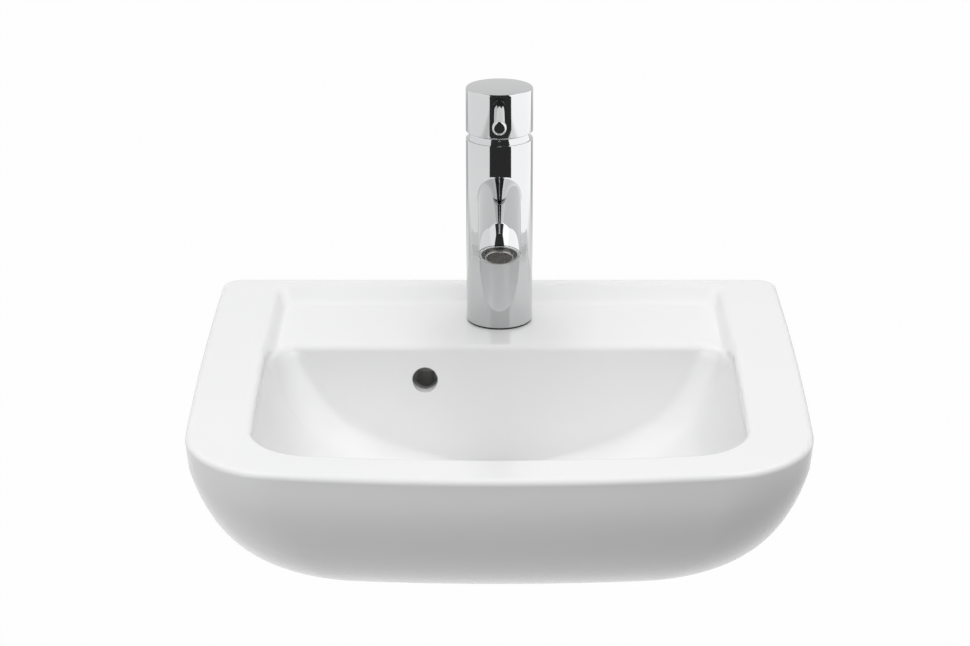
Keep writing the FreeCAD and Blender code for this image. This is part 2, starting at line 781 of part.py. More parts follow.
def outlet_home():
    """Give the outlet's place in the basin's frame, with its own upright axis along the jet."""
    outlet = in_tap(spout_path()[-1])
    steep = math.radians(size("outlet_slope"))
    jet = FreeCAD.Vector(0, -math.cos(steep), -math.sin(steep))
    bend = "(spout_slope + outlet_slope) / 2"
    forward = (f"spout_straight * cos(spout_slope) + outlet_straight * cos(outlet_slope)"
               f" + 2 * spout_bend_radius * sin((outlet_slope - spout_slope) / 2) * cos({bend})")
    down = (f"spout_straight * sin(spout_slope) + outlet_straight * sin(outlet_slope)"
            f" + 2 * spout_bend_radius * sin((outlet_slope - spout_slope) / 2) * sin({bend})")
    place_y = f"-tap_from_wall - ({forward})"
    place_z = f"rim_height - ledge_drop + spout_height - ({down})"
    return home("0", place_y, place_z, FreeCAD.Rotation(Z_AXIS, jet)), outlet, jet


def swept_tube(name, root_radius, tip_radius):
    """Sweep a round section along the spout's centre line, tapering from its root to its tip."""
    start, bend_start, bend_middle, bend_end, outlet = (in_tap(point) for point in spout_path())
    spine = doc.addObject("Part::Feature", name + "_line")
    spine.Shape = Part.Wire([
        Part.LineSegment(start, bend_start).toShape(),
        Part.Arc(bend_start, bend_middle, bend_end).toShape(),
        Part.LineSegment(bend_end, outlet).toShape(),
    ])
    ends = []
    for number, (point, ahead, radius) in enumerate(((start, bend_start - start, root_radius),
                                                     (outlet, outlet - bend_end, tip_radius))):
        circle = doc.addObject("Part::Circle", f"{name}_section_{number}")
        circle.setExpression("Radius", ref(radius))
        circle.Placement = FreeCAD.Placement(point, FreeCAD.Rotation(Z_AXIS, ahead))
        ends.append(circle)
    sweep = doc.addObject("Part::Sweep", name)
    sweep.Sections = ends
    sweep.Spine = (spine, ["Edge1", "Edge2", "Edge3"])
    sweep.Solid = True
    return sweep


def tool_cylinder(name, radius, length, base, direction):
    """Make a loose cylinder that another solid is cut with."""
    tool = doc.addObject("Part::Cylinder", name)
    tool.setExpression("Radius", ref(radius))
    tool.setExpression("Height", ref(length))
    tool.Placement = FreeCAD.Placement(base, FreeCAD.Rotation(Z_AXIS, direction))
    return tool


def make_spout():
    """Make the spout: a tapered tube brazed to the body, turned down at its end to take the aerator."""
    _, outlet, jet = outlet_home()
    outer = swept_tube("spout_outside", "spout_root_diameter / 2", "spout_tip_diameter / 2")
    bore = swept_tube("spout_inside", "spout_bore / 2", "spout_bore / 2")
    body_room = tool_cylinder("body_room", "tap_diameter / 2 + braze_gap", "tap_height",
                              FreeCAD.Vector(0, 0, 0), Z_AXIS)
    thread = tool_cylinder("thread_room", "aerator_thread / 2 + seat_gap", "aerator_depth + overrun",
                           outlet - jet * size("aerator_depth"), jet)
    lip = tool_cylinder("lip_room", "lip_bore / 2", "lip_depth + overrun",
                        outlet - jet * size("lip_depth"), jet)
    rooms = doc.addObject("Part::MultiFuse", "spout_rooms")
    rooms.Shapes = [bore, body_room, thread, lip]
    spout = doc.addObject("Part::Cut", "spout")
    spout.Base = outer
    spout.Tool = rooms
    spout.Label = "spout"
    place(spout, TAP)
    parts.append(spout)
    return spout


def make_aerator():
    """Make the aerator: a threaded shell, the jet insert in it and the washer behind it."""
    spot = outlet_home()[0]
    face = "-aerator_set_back"
    rear = f"({face} - aerator_length)"
    turned("aerator_shell", spot, [
        ("insert_diameter / 2 + seat_gap", face),
        ("aerator_thread / 2", face),
        ("aerator_thread / 2", rear),
        ("spout_bore / 2 - insert_edge - seat_gap", rear),
        ("spout_bore / 2 - insert_edge - seat_gap", f"{rear} + insert_edge"),
        ("insert_diameter / 2 + seat_gap", f"{rear} + insert_edge"),
    ])
    turned("aerator_insert", spot, [
        ("0", f"{rear} + insert_edge"),
        ("insert_diameter / 2", f"{rear} + insert_edge"),
        ("insert_diameter / 2", "insert_proud - insert_edge"),
        ("insert_diameter / 2 - insert_edge", "insert_proud"),
        ("0", "insert_proud"),
    ])
    washer_low = f"{rear} - washer_thickness"
    ring("aerator_washer", spot, "spout_bore - 2 * insert_edge", "aerator_thread", washer_low, rear)


BASE_TOP = "(seat_height + cartridge_base_height)"
FIXED_TOP = f"({BASE_TOP} + disc_thickness)"
MOVING_LOW = f"({FIXED_TOP} + disc_gap)"
MOVING_TOP = f"({MOVING_LOW} + disc_thickness)"
CARRIER_TOP = f"({MOVING_TOP} + carrier_height)"
TURRET_LOW = f"({CARRIER_TOP} + turret_gap)"
TURRET_SHOULDER = f"({TURRET_LOW} + turret_flange_height)"
BALL_HEIGHT = f"(({MOVING_TOP} + {CARRIER_TOP}) / 2)"


def make_cartridge():
    """Make the cartridge: base, seals, two ceramic discs, carrier, turret, stem and housing."""
    base = turned("cartridge_base", TAP, rectangle("0", "cartridge_diameter / 2", "seat_height", BASE_TOP))
    fixed = turned("fixed_disc", TAP, rectangle("0", "fixed_disc_diameter / 2", BASE_TOP, FIXED_TOP))
    seals = new_body("cartridge_seals", TAP)
    outline = new_sketch(seals, "seal_rings", "XY_Plane", "seat_height")
    for way in SIDES:
        at = (f"{way}inlet_offset", "-inlet_forward")
        drill(base, "channel_diameter", "cartridge_base_height", (*at, "seat_height"), name="port")
        drill(base, "seal_outside + 2 * seat_gap", "seal_height", (*at, "seat_height"), name="seal_room")
        drill(fixed, "channel_diameter", "disc_thickness", (*at, BASE_TOP), name="port")
        add_circle(outline, "seal_outside / 2", *at)
        add_circle(outline, "channel_diameter / 2", *at)
    rings = pad(seals, outline, "seal_height", "rings")
    seals.AllowCompound = True
    rings.Refine = False

    shift = f"(pivot_height - {BALL_HEIGHT}) / 2 * sin(lift_limit)"
    moving = new_body("moving_disc", TAP)
    face = new_sketch(moving, "disc_face", "XY_Plane", MOVING_LOW)
    add_circle(face, "moving_disc_diameter / 2", "0", shift)
    pad(moving, face, "disc_thickness", "disc")
    drill(moving, "disc_pocket", "disc_thickness / 2", ("0", shift, MOVING_LOW), name="mixing_pocket")
    carrier = turned("disc_carrier", TAP, rectangle("0", "carrier_diameter / 2", MOVING_TOP, CARRIER_TOP))
    drill(carrier, "carrier_socket", "carrier_height", ("0", "0", MOVING_TOP), name="socket")

    turret = turned("turret", TAP, [
        ("0", TURRET_LOW),
        ("turret_flange / 2", TURRET_LOW),
        ("turret_flange / 2", TURRET_SHOULDER),
        ("turret_neck / 2", TURRET_SHOULDER),
        ("turret_neck / 2", "turret_top"),
        ("0", "turret_top"),
    ])
    slot = new_sketch(turret, "slot", "XY_Plane", "turret_top")
    add_loop(slot, rectangle("-slot_width / 2", "slot_width / 2", "-slot_length / 2", "slot_length / 2"))
    pocket(turret, slot, f"turret_top - {TURRET_LOW}", "stem_slot")
    pin_at = ("-pivot_length / 2", "0", "pivot_height")
    drill(turret, "pivot_diameter", "pivot_length", pin_at, X_AXIS, "pin_hole")
    pin = new_body("stem_pivot_pin", TAP)
    cylinder(pin, "Additive", "pivot_diameter / 2", "pivot_length", pin_at, X_AXIS, "pin")

    make_lever_stem()
    turned("cartridge_housing", TAP, [
        ("cartridge_inside / 2", BASE_TOP),
        ("cartridge_diameter / 2", BASE_TOP),
        ("cartridge_diameter / 2", "nut_shelf"),
        ("housing_lip / 2", "nut_shelf"),
        ("housing_lip / 2", f"{TURRET_SHOULDER} + turret_gap"),
        ("cartridge_inside / 2", f"{TURRET_SHOULDER} + turret_gap"),
    ])
    ring("retaining_nut", TAP, "retaining_bore", "nut_bore - 2 * thread_clearance", "nut_shelf",
         "nut_shelf + retaining_height")


def make_lever_stem():
    """Make the stem: a square shank on the cross pin, with a waisted ball in the carrier below."""
    stem = new_body("lever_stem", TAP)
    half = "stem_width / 2"
    shank = new_sketch(stem, "shank", "XY_Plane", "pivot_height - stem_width")
    add_loop(shank, rectangle(f"-{half}", half, f"-{half}", half))
    pad(stem, shank, "stem_top - pivot_height + stem_width", "square_shank")
    waist_length = f"pivot_height - stem_width - {BALL_HEIGHT}"
    cylinder(stem, "Additive", "stem_waist / 2", waist_length, ("0", "0", BALL_HEIGHT), name="waist")
    ball = stem.newObject("PartDesign::AdditiveSphere", "ball")
    ball.setExpression("Radius", ref("stem_ball / 2"))
    place(ball, home("0", "0", BALL_HEIGHT))
    at = (f"-{half} - overrun", "0", "pivot_height")
    drill(stem, "pivot_diameter + 2 * pivot_clearance", "stem_width + 2 * overrun", at, X_AXIS, "pin_hole")


def make_handle():
    """Make the handle: the dome it glides over, the cap, the pin lever and the grub screw."""
    def dome_radius_at(height, radius):
        return f"sqrt(({radius})^2 - ({height} - pivot_height)^2)"

    middle = f"({CAP_BOTTOM})"
    shoulder = f"({CAP_BOTTOM} + cap_gap)"
    inside = "dome_radius - dome_wall"
    crest = f"(pivot_height + sqrt(({inside})^2 - dome_opening^2))"
    outer_levels = ("tap_height", "(tap_height + cap_gap / 2)", middle, shoulder)
    inner_levels = (shoulder, middle, "tap_height")
    profile = [(dome_radius_at(level, "dome_radius"), level) for level in outer_levels]
    profile.append(("dome_opening", crest))
    profile.append(("dome_opening", f"{crest} - dome_wall"))
    profile.extend((f"{dome_radius_at(level, 'dome_radius')} - dome_wall", level) for level in inner_levels)
    turned("cover_ring", TAP, profile)

    skirt = f"sqrt((dome_radius + dome_gap)^2 - ({CAP_BOTTOM} - pivot_height)^2)"
    ceiling = f"({CAP_TOP} - cap_top)"
    cap = turned("handle_cap", TAP, [
        (skirt, CAP_BOTTOM),
        ("tap_diameter / 2", CAP_BOTTOM),
        ("tap_diameter / 2", CAP_TOP),
        ("0", CAP_TOP),
        ("0", f"{ceiling} - hub_height"),
        ("hub_diameter / 2", f"{ceiling} - hub_height"),
        ("hub_diameter / 2", ceiling),
        (skirt, ceiling),
    ])
    round_edges(cap, is_circle_at("tap_diameter / 2", CAP_TOP), "cap_edge_radius", "top_rounding")
    round_edges(cap, is_circle_at("tap_diameter / 2", CAP_BOTTOM), "cap_lip_radius", "lip_rounding")
    half = "(stem_width / 2 + socket_clearance)"
    socket = new_sketch(cap, "socket", "XY_Plane", f"{ceiling} - hub_height")
    add_loop(socket, rectangle(f"-{half}", half, f"-{half}", half))
    pocket(cap, socket, f"stem_top - {ceiling} + hub_height", "stem_socket", reverse=True)
    root = "(tap_diameter / 2 - dimple_depth)"
    dimple_at = ("0", f"-{root}", LEVER_HEIGHT)
    drill(cap, "dimple_diameter", "dimple_depth + overrun", dimple_at, FORWARD, "dimple")
    spigot_end = f"({half} + overrun)"
    spigot_length = f"({root} - {spigot_end})"
    hole = "lever_spigot + 2 * lever_clearance"
    hole_at = ("0", f"-{spigot_end}", LEVER_HEIGHT)
    drill(cap, hole, f"{spigot_length} + overrun", hole_at, FORWARD, "lever_hole")
    grub_hole = "grub_diameter + 2 * lever_clearance"
    drill(cap, grub_hole, "hub_diameter / 2", ("0", "0", LEVER_HEIGHT), Y_AXIS, "grub_hole")
    rear = ("0", "hub_diameter / 2", LEVER_HEIGHT)
    drill(cap, "grub_access", "tap_diameter / 2", rear, Y_AXIS, "grub_way")

    lever_turn = FreeCAD.Rotation(Z_AXIS, FORWARD)
    lever_spot = home(TAP.x, f"{TAP.y} - {root}", f"{TAP.z} + {LEVER_HEIGHT}", lever_turn)
    tip = "(lever_length + dimple_depth)"
    knob = f"({tip} - lever_knob_length)"
    lever = turned("lever_pin", lever_spot, [
        ("0", f"-{spigot_length}"),
        ("lever_spigot / 2", f"-{spigot_length}"),
        ("lever_spigot / 2", "0"),
        ("lever_diameter / 2", "0"),
        ("lever_knob / 2", knob),
        ("lever_knob / 2", tip),
        ("0", tip),
    ])
    round_edges(lever, is_circle_at("lever_knob / 2", tip), "lever_knob_round", "knob_rounding")

    grub_spot = home(TAP.x, f"{TAP.y} + stem_width / 2", f"{TAP.z} + {LEVER_HEIGHT}",
                     FreeCAD.Rotation(Z_AXIS, Y_AXIS))
    grub = turned("handle_screw", grub_spot, rectangle("0", "grub_diameter / 2", "0", "grub_length"))
    key = new_sketch(grub, "key", "XY_Plane", "grub_length")
    add_loop(key, hexagon("grub_key"))
    pocket(grub, key, "grub_key_depth", "key_socket")


def make_tap_fixings():
    """Make what holds the tap to the ledge: gasket, stud, rubber and steel clamps, and the nut."""
    ring("base_gasket", TAP, "gasket_bore", "gasket_diameter", "0", "gasket_thickness")
    stud_spot = home(TAP.x, f"{TAP.y} + stud_back", f"{TAP.z} + gasket_thickness + stud_depth")
    turned("mounting_stud", stud_spot, rectangle("0", "stud_diameter / 2", "-stud_length", "0"))
    levels = ("-ledge_thickness - clamp_seal_thickness",
              "-ledge_thickness - clamp_seal_thickness - clamp_plate_thickness")
    sheets = (
        ("clamp_seal", levels[0], "clamp_seal_thickness"),
        ("clamp_plate", levels[1], "clamp_plate_thickness"),
    )
    for label, level, thickness in sheets:
        clamp = new_body(label, TAP)
        face = new_sketch(clamp, "disc", "XY_Plane", level)
        add_circle(face, "clamp_diameter / 2")
        pad(clamp, face, thickness, "plate")
        slot = new_sketch(clamp, "slot", "XY_Plane", f"{level} + {thickness}")
        half = "clamp_slot_width / 2"
        front = "-clamp_diameter / 2 - overrun"
        add_loop(slot, rectangle(f"-{half}", half, front, "clamp_slot_back"))
        pocket(clamp, slot, thickness, "hose_slot")
        drill(clamp, "clamp_hole", thickness, ("0", "stud_back", level), name="stud_hole")
    nut_spot = home(TAP.x, f"{TAP.y} + stud_back", f"{TAP.z} + {levels[1]} - nut_height")
    nut = new_body("stud_nut", nut_spot)
    face = new_sketch(nut, "faces")
    add_loop(face, hexagon("nut_across"))
    add_circle(face, "stud_diameter / 2 + seat_gap")
    pad(nut, face, "nut_height", "hexagon")


# The waste hangs in the well, and its heights count from the well's floor.
WASTE = home("0", "-waste_from_wall", "rim_height - bowl_depth")
FLANGE_TOP = "(flange_seal_thickness + flange_thickness)"
SEAL_LOW = "(-boss_depth - lower_seal_thickness)"
WASHER_LOW = f"({SEAL_LOW} - waste_washer_thickness)"
BACKNUT_LOW = f"({WASHER_LOW} - backnut_height)"
BRIDGE_LOW = "(-bridge_drop - bridge_thickness)"


def make_waste():
    """Make the waste: flanged tail with its bridge, its seals and nut, and the click plug."""
    body = turned("waste_body", WASTE, [
        ("tail_bore / 2", FLANGE_TOP),
        ("tail_bore / 2", "-tail_length"),
        ("tail_diameter / 2", "-tail_length"),
        ("tail_diameter / 2", "tail_thread_length - tail_length"),
        ("tail_barrel / 2", "tail_thread_length - tail_length"),
        ("tail_barrel / 2", "flange_seal_thickness"),
        ("flange_diameter / 2", "flange_seal_thickness"),
        ("flange_diameter / 2", FLANGE_TOP),
    ])
    bridge = new_sketch(body, "bridge", "XY_Plane", BRIDGE_LOW)
    reach = "(tail_bore / 2 + (tail_barrel - tail_bore) / 4)"
    add_loop(bridge, rectangle(f"-{reach}", reach, "-bridge_width / 2", "bridge_width / 2"))
    pad(body, bridge, "bridge_thickness", "bridge_bar")
    eye_at = ("0", "0", BRIDGE_LOW)
    cylinder(body, "Additive", "guide_collar / 2", "bridge_thickness", eye_at, name="bridge_eye")
    drill(body, "guide_diameter + 2 * seat_gap", "bridge_thickness", eye_at, name="guide_hole")
    window = new_sketch(body, "window", "XY_Plane", "-duct_depth + slot_window_height / 2")
    half = "slot_window_width / 2"
    add_loop(window, rectangle("-tail_diameter", "tail_diameter", f"-{half}", half))
    pocket(body, window, "slot_window_height", "overflow_windows")

    ring("waste_flange_seal", WASTE, "seal_bore", "flange_seal_diameter", "0", "flange_seal_thickness")
    ring("waste_lower_seal", WASTE, "seal_bore", "lower_seal_diameter", SEAL_LOW, "-boss_depth")
    ring("waste_washer", WASTE, "seal_bore", "lower_seal_diameter", WASHER_LOW, SEAL_LOW)
    nut = new_body("waste_backnut", WASTE)
    face = new_sketch(nut, "faces", "XY_Plane", BACKNUT_LOW)
    add_loop(face, hexagon("backnut_across"))
    add_circle(face, "tail_barrel / 2 + thread_clearance")
    pad(nut, face, "backnut_height", "hexagon")

    make_plug()


def make_plug():
    """Make the click plug: the sealed click guide in the bridge, and the stem, cap and seal it lifts."""
    guide_top = f"({BRIDGE_LOW} + bridge_thickness + guide_collar_height)"
    collar_low = f"({BRIDGE_LOW} + bridge_thickness)"
    guide_low = f"({guide_top} - guide_length)"
    floor = f"({guide_low} + guide_collar_height)"
    turned("click_guide", WASTE, [
        ("0", guide_low),
        ("guide_diameter / 2", guide_low),
        ("guide_diameter / 2", collar_low),
        ("guide_collar / 2", collar_low),
        ("guide_collar / 2", guide_top),
        ("guide_bore / 2", guide_top),
        ("guide_bore / 2", floor),
        ("0", floor),
    ])
    cap_low = f"({FLANGE_TOP} + plug_seal_height)"
    cap_top = f"({cap_low} + plug_thickness)"
    hub_low = f"({cap_low} - plug_hub_height)"
    cap = turned("plug_cap", WASTE, [
        ("plug_thread / 2", hub_low),
        ("plug_hub / 2", hub_low),
        ("plug_hub / 2", cap_low),
        ("plug_diameter / 2", cap_low),
        ("plug_diameter / 2", f"{cap_low} + plug_edge"),
        ("plug_diameter / 4", cap_top),
        ("0", cap_top),
        ("0", f"{hub_low} + plug_thread_length"),
        ("plug_thread / 2", f"{hub_low} + plug_thread_length"),
    ])
    edge_level = f"{cap_low} + plug_edge"
    round_edges(cap, is_circle_at("plug_diameter / 2", edge_level), "plug_edge_round", "edge_rounding")
    seal_inside = "plug_seal_outside - 2 * plug_seal_section"
    ring("plug_seal", WASTE, seal_inside, "plug_seal_outside", FLANGE_TOP, cap_low)
    turned("plug_stem", WASTE, [
        ("0", f"{hub_low} - plug_stem_length"),
        ("plug_stem_diameter / 2", f"{hub_low} - plug_stem_length"),
        ("plug_stem_diameter / 2", hub_low),
        ("plug_thread / 2", hub_low),
        ("plug_thread / 2", f"{hub_low} + plug_thread_length"),
        ("0", f"{hub_low} + plug_thread_length"),
    ])


def check_document():
    """Stop if anything in the document failed or a sub-part has no sound solid."""
    for each in doc.Objects:
        if {"Invalid", "Error"} & set(each.State):
            raise RuntimeError(f"{each.Label} failed: {each.State}")
    for each in parts:
        shape = each.Shape
        if shape.isNull() or not shape.isValid() or not shape.Solids:
            raise RuntimeError(f"{each.Label} has no sound solid")


def main():
    """Build every sub-part, check them and write one file for each."""
    make_basin()
    make_tap_body()
    make_spout()
    make_aerator()
    make_cartridge()
    make_handle()
    make_tap_fixings()
    make_waste()
    doc.recompute()
    check_document()
    os.makedirs("parts", exist_ok=True)
    for each in parts:
        each.Shape.exportStep(os.path.join("parts", each.Label + ".step"))
        print(f"{each.Label}: {len(each.Shape.Solids)} solid(s), {each.Shape.Volume:.1f} mm3")


if __name__ == "__main__":
    main()
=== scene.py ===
"""Dress the wall-hung hand basin: white glaze, chrome mixer, click waste and the studio round them.

The object's sizes are written in millimetres and become metres as each mesh is made. The studio's are
in metres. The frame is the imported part's own: the origin lies on the wall face midway between the wall
fixing holes, +X is right, +Y goes into the wall and +Z is up.
"""
import json
import logging
import math
from dataclasses import dataclass, field
from enum import Enum

import bmesh
import bpy
import numpy as np
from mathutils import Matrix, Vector


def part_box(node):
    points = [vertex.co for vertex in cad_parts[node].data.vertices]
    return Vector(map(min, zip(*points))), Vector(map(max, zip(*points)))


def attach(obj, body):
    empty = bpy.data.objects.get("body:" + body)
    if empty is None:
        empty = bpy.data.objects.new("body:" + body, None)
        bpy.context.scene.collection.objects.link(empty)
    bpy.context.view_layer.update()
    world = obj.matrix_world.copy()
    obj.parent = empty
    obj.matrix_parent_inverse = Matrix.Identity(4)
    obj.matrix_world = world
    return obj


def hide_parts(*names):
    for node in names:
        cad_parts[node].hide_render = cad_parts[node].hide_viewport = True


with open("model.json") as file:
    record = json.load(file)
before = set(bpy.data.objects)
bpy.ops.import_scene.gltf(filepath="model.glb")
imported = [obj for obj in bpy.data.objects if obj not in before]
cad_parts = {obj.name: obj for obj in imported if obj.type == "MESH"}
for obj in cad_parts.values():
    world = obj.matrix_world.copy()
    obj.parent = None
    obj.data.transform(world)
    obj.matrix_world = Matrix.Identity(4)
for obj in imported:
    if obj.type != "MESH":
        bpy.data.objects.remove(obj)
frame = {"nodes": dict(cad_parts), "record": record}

LOG = logging.getLogger("hand_basin")
MM = 0.001
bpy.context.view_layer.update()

RIGHT = np.array((1.0, 0.0, 0.0))
FRONT = np.array((0.0, -1.0, 0.0))
UP = np.array((0.0, 0.0, 1.0))
BOTH_WAYS = (-1.0, 1.0)
QUARTER_TURN = math.pi / 2.0


@dataclass(frozen=True)
class NodeBox:
    """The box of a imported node, in millimetres.

    Args:
        low: its lowest corner.
        high: its highest corner.
    """

    low: np.ndarray
    high: np.ndarray

    @classmethod
    def of(cls, node: str) -> "NodeBox":
        """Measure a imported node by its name."""
        low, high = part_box(node)
        return cls(np.array(low) / MM, np.array(high) / MM)

    @property
    def radius(self) -> float:
        """Give half the box's width."""
        return (self.high[0] - self.low[0]) / 2.0

    @property
    def forward(self) -> float:
        """Give how far the box's middle stands from the wall."""
        return -(self.low[1] + self.high[1]) / 2.0


def mount_sizes(name: str) -> dict[str, float]:
    """Give the sizes that the record states for a mount."""
    return next(mount["dims"] for mount in frame["record"]["mounts"] if mount["name"] == name)


def smooth(share: np.ndarray) -> np.ndarray:
    """Ease a share from 0 to 1 with level ends: 3 s^2 - 2 s^3, held at 0 and 1 outside."""
    held = np.clip(share, 0.0, 1.0)
    return held * held * (3.0 - 2.0 * held)


def full_turn(segments: int) -> np.ndarray:
    """Give evenly spaced angles once round."""
    return np.linspace(0.0, 2.0 * math.pi, segments, endpoint=False)


@dataclass(frozen=True)
class Axis:
    """A line that pieces are turned about.

    Args:
        base: a point on the line.
        along: the unit direction that heights count along.
        across: a unit direction square to it, where angles count from.
    """

    base: np.ndarray
    along: np.ndarray
    across: np.ndarray

    def spokes(self, angle: np.ndarray) -> np.ndarray:
        """Give the unit directions square to the line at given angles."""
        beside = np.cross(self.along, self.across)
        return np.cos(angle)[:, None] * self.across + np.sin(angle)[:, None] * beside

    def turn(self, radius: np.ndarray, height: np.ndarray, angle: np.ndarray) -> np.ndarray:
        """Place rings about the line: base + r (cos a across + sin a beside) + h along.

        Args:
            radius: the radii, rows by columns or by one.
            height: the heights, rows by columns or by one.
            angle: the columns' angles.

        Returns:
            Rows by columns by three coordinates.
        """
        return self.base + radius[..., None] * self.spokes(angle) + height[..., None] * self.along


def upright(forward: float, foot: float = 0.0, x: float = 0.0) -> Axis:
    """Give an upright line at a distance from the wall, its heights counted from a foot."""
    return Axis(np.array((x, -forward, foot)), UP, RIGHT)


@dataclass(frozen=True)
class Surface:
    """A grid of points that becomes quads.

    Args:
        points: rows by columns by three coordinates, in millimetres.
        rows_closed: whether the last row joins the first.
        columns_closed: whether the last column joins the first.
    """

    points: np.ndarray
    rows_closed: bool = False
    columns_closed: bool = True

    def quads(self) -> np.ndarray:
        """Number the corners of every cell of the grid.

        Returns:
            Cells by four corner numbers.
        """
        rows, columns = self.points.shape[:2]
        row = np.arange(rows if self.rows_closed else rows - 1)
        column = np.arange(columns if self.columns_closed else columns - 1)
        row, column = np.meshgrid(row, column, indexing="ij")
        next_row = (row + 1) % rows
        next_column = (column + 1) % columns
        corners = ((row, column), (row, next_column), (next_row, next_column), (next_row, column))
        return np.stack([r * columns + c for r, c in corners], axis=-1).reshape(-1, 4)


WELD = 1e-7
SHARP_ANGLE = math.radians(38.0)


def soften(mesh: bpy.types.Mesh) -> None:
    """Shade a mesh smooth, with a crease where faces turn sharply."""
    mesh.shade_smooth()
    mesh.set_sharp_from_angle(angle=SHARP_ANGLE)


def make_piece(name: str, *surfaces: Surface) -> bpy.types.Object:
    """Put surfaces into one mesh object at the origin, welded, facing outwards and smooth.

    Args:
        name: the piece's name.
        surfaces: the grids.

    Returns:
        The linked object.
    """
    points = np.vstack([surface.points.reshape(-1, 3) for surface in surfaces]) * MM
    starts = np.cumsum([0] + [math.prod(surface.points.shape[:2]) for surface in surfaces])
    faces = np.vstack([surface.quads() + start for surface, start in zip(surfaces, starts)])
    mesh = bpy.data.meshes.new(name)
    mesh.from_pydata(points, [], faces)
    shape = bmesh.new()
    shape.from_mesh(mesh)
    bmesh.ops.remove_doubles(shape, verts=shape.verts, dist=WELD)
    bmesh.ops.recalc_face_normals(shape, faces=shape.faces)
    shape.to_mesh(mesh)
    shape.free()
    soften(mesh)
    piece = bpy.data.objects.new(name, mesh)
    bpy.context.scene.collection.objects.link(piece)
    return piece


class Cut(Enum):
    """How one solid changes another."""

    AWAY = "DIFFERENCE"
    JOIN = "UNION"


def combine(piece: bpy.types.Object, tool: bpy.types.Object, cut: Cut) -> None:
    """Cut a tool out of a piece or join it on, and drop the tool.

    Args:
        piece: the object that changes.
        tool: the object that shapes it.
        cut: whether the tool is taken away or joined.
    """
    change = piece.modifiers.new(cut.name.lower(), "BOOLEAN")
    change.operation = cut.value
    change.solver = "EXACT"
    change.object = tool
    shown = piece.evaluated_get(bpy.context.evaluated_depsgraph_get())
    made = bpy.data.meshes.new_from_object(shown)
    piece.modifiers.clear()
    piece.data = made
    bpy.data.objects.remove(tool)
    soften(made)


def rounded(corners: list[tuple[float, float, float]], steps: int = 6) -> np.ndarray:
    """Trace a profile through corners, with an arc in place of each rounded one.

    An arc of radius q touches both sides q / tan(half the corner's angle) away from the corner.

    Args:
        corners: radius, height and rounding of each corner, with sharp ends.
        steps: how many chords an arc has.

    Returns:
        The profile's points, radius and height.
    """
    points = np.array([corner[:2] for corner in corners], float)
    traced = [points[:1]]
    share = np.linspace(0.0, 1.0, steps + 1)[:, None]
    for before, here, after, (_, _, radius) in zip(points, points[1:], points[2:], corners[1:]):
        if radius == 0.0:
            traced.append(here[None])
            continue
        back = (before - here) / np.linalg.norm(before - here)
        ahead = (after - here) / np.linalg.norm(after - here)
        half = 0.5 * math.acos(float(np.clip(back @ ahead, -1.0, 1.0)))
        middle = here + (back + ahead) / np.linalg.norm(back + ahead) * radius / math.sin(half)
        start = here + back * radius / math.tan(half) - middle
        end = here + ahead * radius / math.tan(half) - middle
        sweep = math.pi - 2.0 * half
        arc = (np.sin((1.0 - share) * sweep) * start + np.sin(share * sweep) * end) / math.sin(sweep)
        traced.append(middle + arc)
    traced.append(points[-1:])
    return np.vstack(traced)


def refined(profile: np.ndarray, step: float) -> np.ndarray:
    """Add points along a profile so that none are further apart than a step.

    Args:
        profile: radius and height pairs.
        step: the longest distance to leave.

    Returns:
        The profile with its own points kept.
    """
    lengths = np.linalg.norm(np.diff(profile, axis=0), axis=1)
    counts = np.maximum(1, np.ceil(lengths / step).astype(int))
    between = [number + np.arange(count) / count for number, count in enumerate(counts)]
    at = np.concatenate([*between, [len(lengths)]])
    numbers = np.arange(len(profile))
    return np.stack([np.interp(at, numbers, profile[:, column]) for column in (0, 1)], axis=1)


@dataclass(frozen=True)
class Thread:
    """A screw thread on a turned piece: a ridge that climbs one pitch in each turn.

    Args:
        low: the height where it starts.
        high: the height where it ends.
        pitch: its climb in one turn.
        depth: how deep its groove is.
        flat: the share of each flank's run that is flat, at the crest and at the root.
    """

    low: float
    high: float
    pitch: float
    depth: float
    flat: float = 1.0 / 7.0

    def groove(self, height: np.ndarray, angle: np.ndarray) -> np.ndarray:
        """Sink the surface below the crest by a triangle wave of height less angle, with flats.

        Args:
            height: the rows' heights.
            angle: the columns' angles.

        Returns:
            The depths, rows by columns.
        """
        phase = (height[:, None] / self.pitch - angle[None] / (2.0 * math.pi)) % 1.0
        wave = np.clip((np.abs(2.0 * phase - 1.0) - self.flat) / (1.0 - 2.0 * self.flat), 0.0, 1.0)
        run_out = smooth((height - self.low) / self.pitch) * smooth((self.high - height) / self.pitch)
        return self.depth * wave * run_out[:, None]


HOLE_SEGMENTS = 64
NUT_SEGMENTS = 96
JET_SEGMENTS = 128
SPOUT_SEGMENTS = 144
BODY_SEGMENTS = 192
CHAMFER_RINGS = 5


def lathe(profile: np.ndarray, axis: Axis, segments: int, closed: bool = False,
          thread: Thread | None = None) -> Surface:
    """Turn a profile about an axis, with a thread on its widest stretch if one is given.

    Args:
        profile: radius and height pairs.
        axis: the line it turns about.
        segments: how many columns go round.
        closed: whether the profile is a loop.
        thread: a thread on the profile's stretch between two heights.

    Returns:
        The turned surface.
    """
    angle = full_turn(segments)
    radius = np.repeat(profile[:, :1], segments, axis=1)
    if thread is not None:
        on_thread = (profile[:, 1] > thread.low) & (profile[:, 1] < thread.high)
        outside = profile[:, 0] >= profile[on_thread, 0].max() - WELD
        radius = radius - thread.groove(profile[:, 1], angle) * (on_thread & outside)[:, None]
    return Surface(axis.turn(radius, profile[:, 1:], angle), rows_closed=closed)


